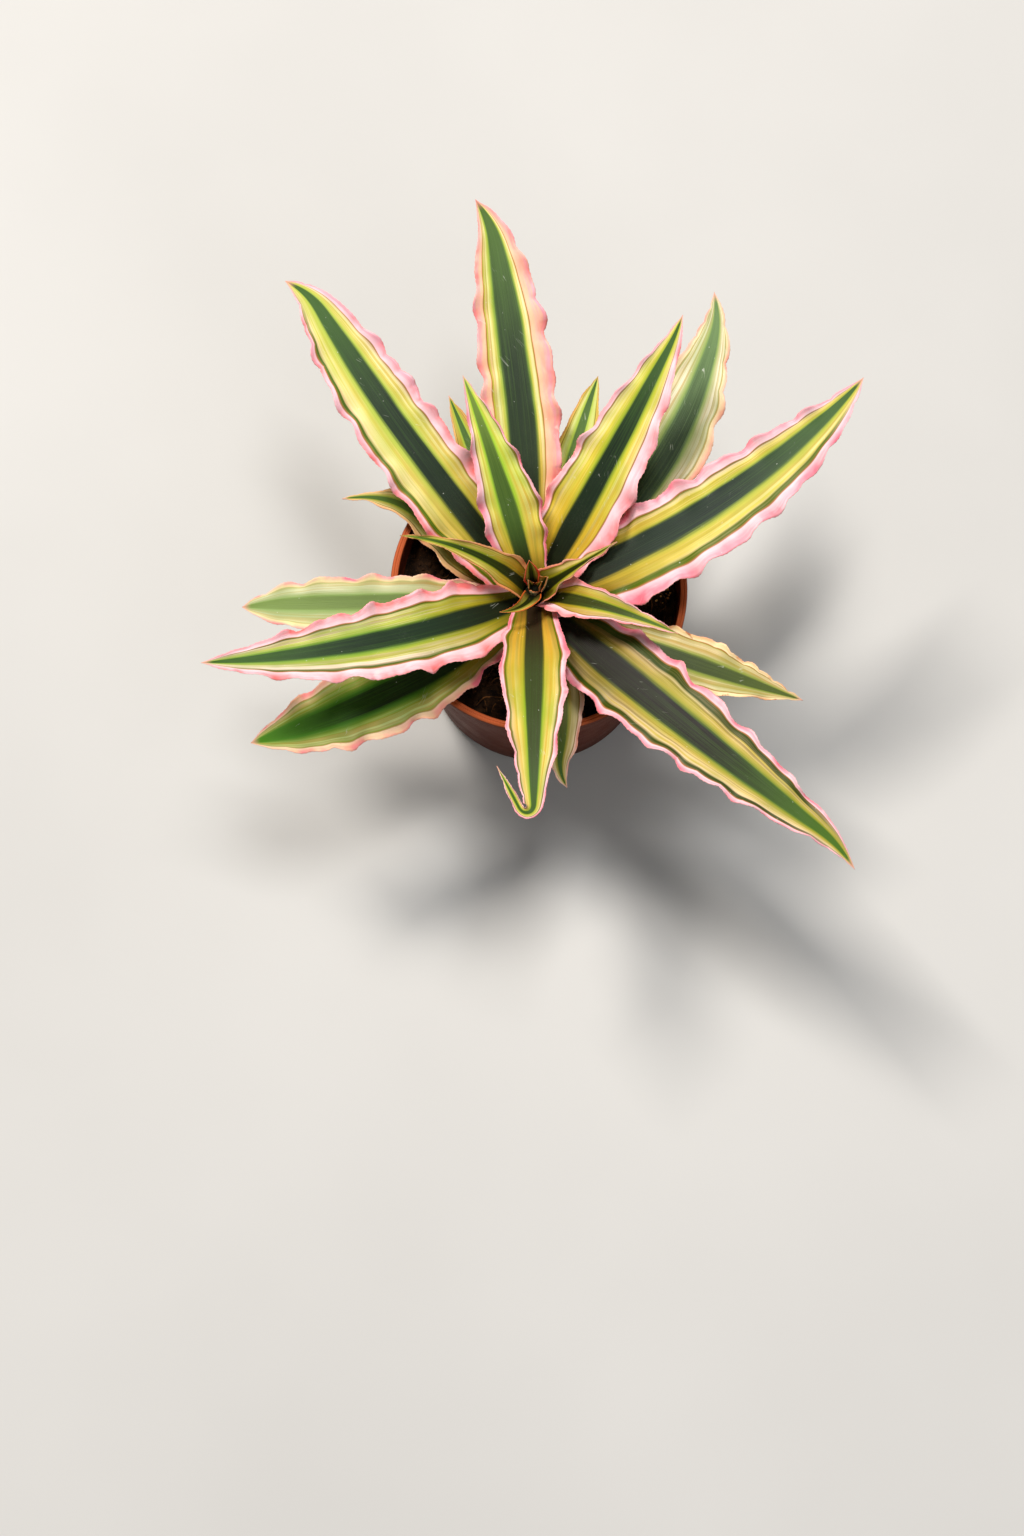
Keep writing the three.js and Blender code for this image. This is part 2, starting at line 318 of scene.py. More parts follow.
def make_group(name: str, takes: dict[str, str], gives: dict[str, str],
               build: Callable[[Graph, dict[str, Socket]], dict[str, Socket]],
               ) -> bpy.types.ShaderNodeTree:
    """Makes a shader node group.

    Args:
        name: the group's name.
        takes: its inputs, name to socket type.
        gives: its outputs, name to socket type.
        build: adds the nodes, from the inputs' sockets to the outputs' sockets.

    Returns:
        The group's tree.
    """
    tree = bpy.data.node_groups.new(name, "ShaderNodeTree")
    for label, kind in takes.items():
        tree.interface.new_socket(label, in_out="INPUT", socket_type=kind)
    for label, kind in gives.items():
        tree.interface.new_socket(label, in_out="OUTPUT", socket_type=kind)
    start = tree.nodes.new("NodeGroupInput")
    end = tree.nodes.new("NodeGroupOutput")
    made = build(Graph(tree), {label: start.outputs[label] for label in takes})
    for label, socket in made.items():
        tree.links.new(socket, end.inputs[label])
    return tree


def place_group(graph: Graph, tree: bpy.types.ShaderNodeTree,
                values: dict[str, Value | Colour]) -> bpy.types.NodeOutputs:
    """Places a node group in a material.

    Args:
        graph: the material's nodes.
        tree: the group.
        values: what goes in its inputs, by name.

    Returns:
        Its outputs, by name.
    """
    made = graph.node("Group", node_tree=tree)
    for label, value in values.items():
        graph.put(made.inputs[label], value)
    return made.outputs


def new_material(name: str) -> tuple[bpy.types.Material, Graph, bpy.types.Node]:
    """Makes a material with its shader.

    Args:
        name: the material's name.

    Returns:
        The material, its nodes and its Principled BSDF.
    """
    made = bpy.data.materials.new(name)
    made.use_nodes = True
    return made, Graph(made.node_tree), made.node_tree.nodes["Principled BSDF"]


def emboss(g: Graph, shader: bpy.types.Node, strength: float, depth: float,
           height: Socket) -> None:
    """Raises a surface's fine grain.

    Args:
        g: the material's nodes.
        shader: its Principled BSDF.
        strength: how strong the grain is, from 0 to 1.
        depth: how deep it is, in metres.
        height: where it is high, from 0 to 1.
    """
    bump = g.node("Bump", strength, depth)
    g.put(bump.inputs["Height"], height)
    g.put(shader.inputs["Normal"], bump.outputs[0])


# ------------------------------------------------------------------ shared effects


LEAF_COLOURS = ("Centre", "Centre Root", "Centre Tip", "Halo", "Light", "Streak", "Root",
                "Line", "Seam", "Margin Inner", "Margin", "Blush", "Edge")
LEAF_WIDTHS = ("Centre Width", "Centre Softness", "Left Margin", "Right Margin",
               "Left Line", "Right Line", "Root Flare")


def stripes(g: Graph, take: dict[str, Socket]) -> dict[str, Socket]:
    """Lays a leaf's long stripes: centre, halo, light band, green line and margin.

    Args:
        g: the group's nodes.
        take: its inputs. Blade is the place across, the place along and the edge's lift;
            Place is millimetres across and along, and the leaf's own number.

    Returns:
        The colour, the margin's mask and the centre's mask.
    """
    parts = g.node("SeparateXYZ", take["Blade"]).outputs
    side, along, fold = parts[0], parts[1], parts[2]
    out = g.math("ABSOLUTE", side)
    left = g.math("GREATER_THAN", side, 0.0)
    place = take["Place"]

    def sided(name: str) -> Socket:
        """Picks the left or the right side's value of an input."""
        difference = g.less(take["Left " + name], take["Right " + name])
        return g.add(take["Right " + name], g.times(difference, left))

    drift = g.noise(g.scaled(place, (0.08, 0.030, 1.0)), 1.0, 2.0)
    broad = g.noise(g.scaled(place, (0.62, 0.010, 1.0)), 1.0, 2.0, 0.5)
    fine = g.noise(g.scaled(place, (2.0, 0.020, 1.0)), 1.0, 3.0, 0.65)
    bands = g.noise(g.scaled(place, (0.62, 0.005, 1.7)), 1.0, 2.0, 0.55)
    threads = g.noise(g.scaled(place, (4.2, 0.012, 1.0)), 1.0, 1.0, 0.5)
    # The stripes' borders wander and fray along the streaks.
    wander = g.add(out, g.off_middle(drift, 0.08))
    ragged = g.add(wander, g.off_middle(fine, 0.08))

    inner = g.times(take["Centre Width"], g.step(along, 0.0, 0.30, 1.25, 1.0))
    soft = take["Centre Softness"]
    centre = g.step(ragged, g.less(inner, soft), g.add(inner, soft), 1.0, 0.0)
    flare = g.times(take["Root Flare"], g.step(along, 0.10, 0.42, 1.0, 0.0))
    start = g.less(sided("Margin"), flare)
    share = g.math("DIVIDE", g.less(ragged, inner), g.less(start, inner))

    # The light band between the dark centre and the margin.
    cream = g.times(g.step(share, 0.18, 0.60), g.step(share, 0.80, 1.0, 1.0, 0.35))
    patchy = g.step(broad, 0.40, 0.56, 0.12, 1.0)
    tan = g.times(g.step(bands, 0.48, 0.60, 0.0, 0.54), g.step(share, 0.12, 0.40))
    reach = g.step(along, 0.30, 0.95, 0.28, 0.50)
    paler = g.times(g.step(share, 0.60, 1.0), g.step(along, 0.25, 0.60, 0.0, 0.42))
    lowness = g.add(along, g.off_middle(drift, 0.12))
    # Painted shade: broad patches of the band darken towards Halo, as if shaded by its soft folds.
    cloud = g.noise(g.scaled(place, (0.13, 0.045, 2.3)), 1.0, 2.0, 0.5)
    # Painted shadow: patches near the root take the Line tone, where other leaves lie over it.
    shade = g.times(g.step(broad, 0.46, 0.60, 0.0, 0.36), g.step(lowness, 0.14, 0.50, 1.0, 0.0))
    band = g.coats(
        take["Light"],
        (g.times(cream, patchy), take["Streak"]),
        (g.step(fine, 0.52, 0.68, 0.0, 0.50), take["Streak"]),
        (tan, take["Root"]),
        (g.step(fine, 0.46, 0.30, 0.0, 0.40), take["Root"]),
        (g.step(threads, 0.53, 0.66, 0.0, 0.24), take["Halo"]),
        (g.step(share, -0.02, reach, 0.95, 0.0), take["Halo"]),
        (g.step(along, 0.45, 1.0, 0.0, 0.12), take["Halo"]),
        (paler, take["Margin Inner"]),
        (g.step(cloud, 0.40, 0.66, 0.0, 0.42), take["Halo"]),
        (g.step(lowness, 0.08, 0.46, 0.9, 0.0), take["Root"]),
        # Painted shade: the band darkens towards Centre Root at its very base.
        (g.step(lowness, 0.0, 0.18, 0.72, 0.0), take["Centre Root"]),
        (shade, take["Line"]))

    # The dark centre, browner and darker near the root, partly its own tone and partly painted
    # shade, and greener towards the tip.
    grown = g.step(along, 0.20, 0.75, 0.15, 1.0)
    rimmed = g.step(ragged, g.times(inner, 0.70), inner, 0.0, 0.70)
    dark = g.coats(
        take["Centre"],
        (g.step(along, 0.52, 1.0), take["Centre Tip"]),
        (g.step(along, 0.06, 0.36, 0.9, 0.0), take["Centre Root"]),
        (g.times(g.step(fine, 0.42, 0.70, 0.0, 0.46), grown), take["Centre Tip"]),
        (g.step(threads, 0.48, 0.68, 0.0, 0.15), take["Centre Root"]),
        (g.times(rimmed, grown), take["Centre Tip"]))

    # The dark green line just inside the margin.
    inside = g.less(start, sided("Line"))
    line = g.step(ragged, g.less(inside, 0.035), g.add(inside, 0.02))
    line = g.times(line, g.step(along, 0.80, 0.95, 1.0, 0.1))
    line = g.times(line, g.step(fine, 0.25, 0.60, 0.72, 0.97))

    # The pale margin and its brown seam. It is flushed near the root and in blotches, and painted
    # deeper pink in the troughs of its waves as painted shade.
    margin = g.step(wander, g.less(start, 0.012), g.add(start, 0.012))
    # Painted shade: the margin turns deeper pink where its waves dip.
    trough_shade = g.step(fold, -0.9, 0.5, 1.0, 0.0)
    low = g.step(along, 0.08, 0.50, 1.0, 0.0)
    blotch = g.noise(g.scaled(place, (0.22, 0.09, 1.0)), 1.0, 3.0, 0.6)
    pale = g.noise(g.scaled(place, (0.9, 0.05, 3.0)), 1.0, 3.0, 0.6)
    outward = g.step(g.math("DIVIDE", g.less(wander, start), g.less(1.0, start)), 0.05, 0.85)
    flush_and_shade = g.add(g.times(trough_shade, 0.55), g.times(low, 0.6))
    flush_and_shade = g.add(flush_and_shade, g.add(g.off_middle(blotch, 2.4), 0.08))
    flush_and_shade = g.math("MULTIPLY", flush_and_shade, g.add(g.times(outward, 0.65), 0.35), clamp=True)
    seam = g.math("ABSOLUTE", g.less(wander, start))
    rim = g.coats(
        take["Margin Inner"],
        (outward, take["Margin"]),
        (g.step(pale, 0.40, 0.62, 0.0, 0.65), take["Margin Inner"]),
        (flush_and_shade, take["Blush"]),
        (g.step(out, 0.975, 1.0, 0.0, 0.5), take["Edge"]))
    colour = g.coats(
        band,
        (centre, dark),
        (line, take["Line"]),
        (margin, rim),
        (g.step(seam, 0.009, 0.028, 0.80, 0.0), take["Seam"]),
        (g.step(along, 0.965, 1.0, 0.0, 0.75), take["Edge"]))
    return {"Color": colour, "Margin": margin, "Centre": centre}


def scurf(g: Graph, take: dict[str, Socket]) -> dict[str, Socket]:
    """Scatters silvery flecks and fine scratches over a leaf.

    Args:
        g: the group's nodes.
        take: Place, millimetres across and along and the leaf's number; Amount, from 0 to 1.

    Returns:
        A mask of flecks and scratches, and a soft bloom that covers whole patches.
    """
    place = take["Place"]
    cells = g.node("TexVoronoi", feature="F1", voronoi_dimensions="3D")
    g.put(cells.inputs["Vector"], g.scaled(place, (0.42, 0.30, 1.0)))
    cells.inputs["Scale"].default_value = 1.0
    cells.inputs["Randomness"].default_value = 1.0
    size = g.node("SeparateColor", cells.outputs["Color"]).outputs[0]
    reach = g.times(g.step(size, 0.60, 1.0), 0.11)
    fleck = g.step(g.math("DIVIDE", cells.outputs["Distance"], g.add(reach, 0.001)),
                   0.55, 1.0, 1.0, 0.0)
    turned_place = g.node("VectorRotate", rotation_type="Z_AXIS")
    g.put(turned_place.inputs["Vector"], place)
    turned_place.inputs["Angle"].default_value = 0.6
    curl = g.noise(g.scaled(turned_place.outputs[0], (0.42, 0.030, 1.0)), 1.0, 1.0)
    hair = g.step(g.math("ABSOLUTE", g.less(curl, 0.5)), 0.002, 0.012, 1.0, 0.0)
    where = g.step(g.noise(g.scaled(place, (0.11, 0.11, 1.0)), 1.5, 2.0), 0.62, 0.70)
    scratch = g.times(hair, where)
    both = g.math("MAXIMUM", fleck, g.times(scratch, 0.55))
    grain = g.noise(g.scaled(place, (3.5, 2.2, 1.0)), 1.0, 2.0, 0.7)
    patch = g.noise(g.scaled(place, (0.10, 0.05, 1.0)), 1.0, 3.0, 0.6)
    bloom = g.times(g.step(grain, 0.45, 0.80), g.step(patch, 0.42, 0.70))
    return {"Flecks": g.times(both, take["Amount"]), "Bloom": g.times(bloom, take["Amount"])}


def ribs(g: Graph, take: dict[str, Socket]) -> dict[str, Socket]:
    """Gives the height of a leaf's fine long ribs and its pebbled skin.

    Args:
        g: the group's nodes.
        take: Place, millimetres across and along and the leaf's number.

    Returns:
        The height, from 0 to 1.
    """
    place = take["Place"]
    across = g.node("SeparateXYZ", place).outputs[0]
    bend = g.noise(g.scaled(place, (0.2, 0.05, 1.0)), 1.0, 1.0)
    turns = g.add(g.times(across, 9.0), g.times(bend, 14.0))
    lines = g.math("MULTIPLY_ADD", g.math("SINE", turns), 0.5)
    lines.node.inputs[2].default_value = 0.5
    long_grain = g.noise(g.scaled(place, (2.2, 0.12, 1.0)), 1.0, 3.0, 0.6)
    pebbles = g.noise(g.scaled(place, (2.4, 2.4, 1.0)), 1.0, 2.0, 0.6)
    height = g.add(g.times(lines, 0.22), g.times(long_grain, 0.55))
    return {"Height": g.add(height, g.times(pebbles, 0.22))}


def rust(g: Graph, take: dict[str, Socket]) -> dict[str, Socket]:
    """Spots an old leaf's margin with rust.

    Args:
        g: the group's nodes.
        take: Place, Margin, the margin's mask, and Amount, from 0 to 1.

    Returns:
        The mask of the spots.
    """
    spots = g.noise(g.scaled(take["Place"], (0.30, 0.22, 1.0)), 1.0, 4.0, 0.62)
    level = g.less(0.78, g.times(take["Amount"], 0.22))
    mask = g.step(spots, level, g.add(level, 0.10))
    return {"Mask": g.times(mask, take["Margin"])}


def grime(g: Graph, take: dict[str, Socket]) -> dict[str, Socket]:
    """Clouds, specks and fine grain for the pot, the soil and the stem.

    Args:
        g: the group's nodes.
        take: Place, a position in metres; Scale, lumps to a metre.

    Returns:
        Clouds, Specks and Grain, each from 0 to 1.
    """
    spread = g.node("VectorMath", take["Place"], operation="SCALE")
    g.put(spread.inputs["Scale"], take["Scale"])
    at = spread.outputs[0]
    clouds = g.step(g.noise(at, 1.0, 4.0, 0.6), 0.35, 0.68)
    specks = g.step(g.noise(at, 9.0, 2.0, 0.6), 0.64, 0.72)
    grain = g.noise(at, 22.0, 3.0, 0.65)
    return {"Clouds": clouds, "Specks": specks, "Grain": grain}


class Effects:
    """The node groups that several finishes share, each made once."""

    def __init__(self) -> None:
        """Builds the groups."""
        self.stripes = make_group(
            "leaf_stripes",
            {"Blade": VECTOR, "Place": VECTOR, **dict.fromkeys(LEAF_WIDTHS, FLOAT),
             **dict.fromkeys(LEAF_COLOURS, COLOUR)},
            {"Color": COLOUR, "Margin": FLOAT, "Centre": FLOAT}, stripes)
        self.scurf = make_group("silver_scurf", {"Place": VECTOR, "Amount": FLOAT},
                                {"Flecks": FLOAT, "Bloom": FLOAT}, scurf)
        self.ribs = make_group("leaf_ribs", {"Place": VECTOR}, {"Height": FLOAT}, ribs)
        self.rust = make_group("rust_spots", {"Place": VECTOR, "Margin": FLOAT, "Amount": FLOAT},
                               {"Mask": FLOAT}, rust)
        self.grime = make_group("grime", {"Place": VECTOR, "Scale": FLOAT},
                                {"Clouds": FLOAT, "Specks": FLOAT, "Grain": FLOAT}, grime)


# ------------------------------------------------------------------ studio


@dataclass
class Studio:
    """The camera, the soft lamps and the pale floor."""

    camera_place: Triple = (-0.01081, -0.38273, 1.33440)
    camera_tilt: float = 14.0  # degrees from straight down
    lens: float = 75.0
    sensor: float = 36.0
    aim: Triple = (0.0, 0.0, 0.1)  # what the lamps face
    floor_side: float = 40.0
    floor_tones: tuple[str, str] = ("cbc9c5", "d2d0cc")
    floor_roughness: float = 0.85
    sky: str = "eef1f4"
    sky_strength: float = 0.13

    def build(self) -> None:
        """Builds the camera, the lamps, the sky and the floor."""
        self.add_camera()
        self.add_lamp("lamp_window", (-0.9, 1.0, 2.3), 0.6, 62.0, "fffaf4")
        self.add_lamp("lamp_front", (1.1, -1.0, 1.5), 1.1, 7.0, "f4f7ff")
        self.add_lamp("lamp_top", (0.15, 0.40, 2.1), 0.5, 18.0, "ffffff")
        world = bpy.data.worlds.new("studio_sky")
        world.use_nodes = True
        background = world.node_tree.nodes["Background"]
        background.inputs["Color"].default_value = tone(self.sky)
        background.inputs["Strength"].default_value = self.sky_strength
        bpy.context.scene.world = world
        self.add_floor()
        bpy.context.scene.view_settings.view_transform = "Standard"

    def add_camera(self) -> None:
        """Adds the camera, high above the rosette and a little south of it."""
        data = bpy.data.cameras.new("camera")
        data.lens = self.lens
        data.sensor_width = self.sensor
        data.sensor_fit = "AUTO"
        camera = bpy.data.objects.new("camera", data)
        camera.location = self.camera_place
        camera.rotation_euler = (math.radians(self.camera_tilt), 0.0, 0.0)
        bpy.context.scene.collection.objects.link(camera)
        bpy.context.scene.camera = camera

    def add_lamp(self, name: str, place: Triple, side: float, power: float,
                 colour: str) -> None:
        """Adds a square soft lamp that faces the plant.

        Args:
            name: the lamp's name.
            place: where its middle is.
            side: its width.
            power: watts.
            colour: six hex digits.
        """
        data = bpy.data.lights.new(name, "AREA")
        data.shape = "SQUARE"
        data.size = side
        data.energy = power
        data.color = tone(colour)[:3]
        lamp = bpy.data.objects.new(name, data)
        lamp.location = place
        aim = Vector(self.aim) - Vector(place)
        lamp.rotation_euler = aim.to_track_quat("-Z", "Y").to_euler()
        bpy.context.scene.collection.objects.link(lamp)

    def add_floor(self) -> None:
        """Adds the plain pale floor."""
        half = self.floor_side / 2
        corners = [(-half, -half, 0), (half, -half, 0), (half, half, 0), (-half, half, 0)]
        floor = make_object("floor", np.array(corners), [(0, 1, 2, 3)], even=False)
        material, g, shader = new_material("pale_floor")
        place = g.node("TexCoord").outputs["Object"]
        mottle = g.step(g.noise(place, 3.0, 4.0), 0.3, 0.7)
        colour = g.blend(mottle, *map(tone, self.floor_tones))
        g.put(shader.inputs["Base Color"], colour)
        shader.inputs["Roughness"].default_value = self.floor_roughness
        floor.data.materials.append(material)


# ------------------------------------------------------------------ pot


@dataclass(frozen=True)
class PotFinish:
    """Terracotta-coloured plastic with dust, scuffs and a painted highlight on its lip."""

    body: str = "5e2917"
    cloud: str = "512213"
    # The lip's painted highlight tone, also laid faintly over the fine clouds.
    highlight_and_mottle: str = "d0683a"
    dust: str = "7c5238"
    roughness: float = 0.5
    shine: float = 0.09
    coarse: float = 60.0  # lumps to a metre
    fine: float = 420.0
    lip: Pair = (0.0990, 0.0998)  # heights in metres between which the lip's painted highlight begins
    splash: Pair = (0.004, 0.030)  # and between which the dust thins out
    grain: float = 0.35
    grain_depth: float = 0.00025  # metres

    def material(self, effects: Effects) -> bpy.types.Material:
        """Makes the material.

        Args:
            effects: the shared node groups.

        Returns:
            The pot's material.
        """
        made, g, shader = new_material("terracotta_plastic")
        place = g.node("TexCoord").outputs["Object"]
        coarse = place_group(g, effects.grime, {"Place": place, "Scale": self.coarse})
        fine = place_group(g, effects.grime, {"Place": place, "Scale": self.fine})
        height = g.node("SeparateXYZ", place).outputs[2]
        lip = g.step(height, *self.lip)
        # Painted highlight: the top of the lip is lighter, broken up by the fine grain.
        lip_highlight = g.times(lip, g.add(g.times(fine["Grain"], 0.5), 0.45))
        dirt = g.times(g.step(height, *self.splash, 0.75, 0.10), fine["Specks"])
        colour = g.coats(
            tone(self.body),
            (g.times(coarse["Clouds"], 0.7), tone(self.cloud)),
            (g.times(fine["Clouds"], 0.025), tone(self.highlight_and_mottle)),
            (lip_highlight, tone(self.highlight_and_mottle)),
            (dirt, tone(self.dust)))
        g.put(shader.inputs["Base Color"], colour)
        rough = g.add(g.times(coarse["Clouds"], 0.14), g.times(fine["Grain"], 0.16))
        g.put(shader.inputs["Roughness"], g.add(rough, self.roughness - 0.12))
        emboss(g, shader, self.grain, self.grain_depth, fine["Grain"])
        shader.inputs["Specular IOR Level"].default_value = self.shine
        return made


@dataclass
class Pot:
    """The round pot: a tapered wall, a deeper collar, a ribbed lip and drain holes."""

    base_radius: float = 47.0  # of the wall, drawn on down to the ground
    wall_top_radius: float = 56.3  # of the wall where the collar begins
    wall: float = 1.4
    floor: float = 1.8
    collar_bottom: float = 87.0
    drain_holes: int = 8
    drain_radius: float = 4.5
    drain_circle: float = 34.0
    drain_cut: Pair = (-2.0, 4.0)  # heights between which a hole is cut
    drain_sides: int = 40
    sides: int = 168
    crease: float = 38.0  # degrees from which an edge stays sharp
    foot: tuple[Pair, ...] = ((0.0, 0.6), (28.0, 0.6), (29.0, 0.0), (45.3, 0.0), (46.3, 0.35),
                              (46.95, 1.2))
    wall_bottom: Pair = (47.05, 2.0)
    lip: tuple[Pair, ...] = (
        (57.6, 87.15), (58.05, 87.5), (58.15, 88.1), (58.35, 92.0), (58.75, 97.2), (59.2, 97.55),
        (59.75, 97.75), (60.0, 98.2), (60.0, 98.9), (59.85, 99.5), (59.45, 99.85), (58.95, 100.0),
        (58.75, 99.9), (58.6, 99.68), (58.42, 99.68), (58.28, 99.88), (58.1, 99.95), (57.9, 99.9),
        (57.78, 99.7), (57.6, 99.7), (57.45, 99.8), (57.2, 99.6), (57.02, 99.1), (56.9, 98.0),
        (56.6, 92.0), (56.4, 88.6), (56.1, 87.6), (55.2, 86.6))
    inside_top: float = 86.0  # height where the inside of the wall begins
    finish: PotFinish = PotFinish()

    def inner_radius(self, z: float) -> float:
        """Gives the wall's inner radius at a height below the collar."""
        return mix(self.base_radius, self.wall_top_radius, z / self.collar_bottom) - self.wall

    def profile(self) -> list[Pair]:
        """Lists the wall's outline from the middle of the bottom round to the inside floor.

        Returns:
            Pairs of radius and height, in millimetres.
        """
        low = self.floor + 1
        return [*self.foot,
                *straight(self.wall_bottom, (self.wall_top_radius, self.collar_bottom), 12),
                *self.lip,
                *straight((self.inner_radius(self.inside_top), self.inside_top),
                          (self.inner_radius(low), low), 8),
                (self.inner_radius(self.floor), self.floor), (0.0, self.floor)]

    def build(self, effects: Effects) -> None:
        """Turns the wall, cuts the drain holes and dresses the pot.

        Args:
            effects: the shared node groups.
        """
        pot = turned("pot", self.profile(), self.sides)
        low, high = self.drain_cut
        hole = [(0.0, low), (self.drain_radius, low), (self.drain_radius, high), (0.0, high)]
        for i in range(self.drain_holes):
            angle = 2 * math.pi * (i + 0.5) / self.drain_holes
            centre = (self.drain_circle * math.cos(angle), self.drain_circle * math.sin(angle))
            cut(pot, turned("drain_cutter", hole, self.drain_sides, centre))
        pot.data.shade_smooth()
        pot.data.set_sharp_from_angle(angle=math.radians(self.crease))
        settle(pot, Slot.POT, self.finish.material(effects), "pot")


def turned(name: str, profile: Sequence[Pair], sides: int,
           centre: Pair = (0.0, 0.0)) -> bpy.types.Object:
    """Turns an outline round an upright axis.

    Args:
        name: the piece's name.
        profile: pairs of radius and height in millimetres, anticlockwise seen with the axis
            on the left; the first and last are on the axis.
        sides: points in each ring.
        centre: where the axis stands, in millimetres.

    Returns:
        A closed mesh object.
    """
    rings = profile[1:-1]
    points = [(centre[0], centre[1], profile[0][1])]
    for radius, z in rings:
        points += circle(radius, z, sides, centre)
    points.append((centre[0], centre[1], profile[-1][1]))
    last = len(points) - 1
    faces: list[tuple[int, ...]] = []
    for j in range(sides):
        k = (j + 1) % sides
        faces.append((0, 1 + k, 1 + j))
        for i in range(len(rings) - 1):
            a, b = 1 + i * sides, 1 + (i + 1) * sides
            faces.append((a + j, a + k, b + k, b + j))
        end = 1 + (len(rings) - 1) * sides
        faces.append((end + j, end + k, last))
    return make_object(name, np.array(points) * MM, faces)


def cut(body: bpy.types.Object, cutter: bpy.types.Object) -> None:
    """Cuts one closed piece out of another and removes the cutter.

    Args:
        body: the piece that keeps the hollow.
        cutter: the piece that is taken away.
    """
    step = body.modifiers.new("cut", "BOOLEAN")
    step.operation = "DIFFERENCE"
    step.solver = "EXACT"
    step.object = cutter
    shaped = bpy.data.meshes.new_from_object(
        body.evaluated_get(bpy.context.evaluated_depsgraph_get()))
    body.modifiers.clear()
    old, body.data = body.data, shaped
    bpy.data.meshes.remove(old)
    spent = cutter.data
    bpy.data.objects.remove(cutter)
    bpy.data.meshes.remove(spent)


# ------------------------------------------------------------------ soil and stem


@dataclass(frozen=True)
class EarthFinish:
    """Dark potting soil, its crumbs, fibres or grit, or the stem, which is painted near black as
    shade.
    """

    name: str
    dark: str
    light: str
    fleck: str
    roughness: float = 0.92
    relief: float = 0.0006  # metres
    lumps: float = 260.0  # to a metre
    grain: float = 0.8
    shine: float = 0.12

    def material(self, effects: Effects) -> bpy.types.Material:
        """Makes the material.

        Args:
            effects: the shared node groups.

        Returns:
            The material.
        """
        made, g, shader = new_material(self.name)
        place = g.node("TexCoord").outputs["Object"]
        dirt = place_group(g, effects.grime, {"Place": place, "Scale": self.lumps})
        colour = g.coats(
            tone(self.dark),
            (dirt["Clouds"], tone(self.light)),
            (g.times(dirt["Specks"], 0.7), tone(self.fleck)))
        g.put(shader.inputs["Base Color"], colour)
        rough = g.add(g.times(dirt["Grain"], 0.15), self.roughness - 0.08)
        g.put(shader.inputs["Roughness"], rough)
        emboss(g, shader, self.grain, self.relief, dirt["Grain"])
        shader.inputs["Specular IOR Level"].default_value = self.shine
        return made


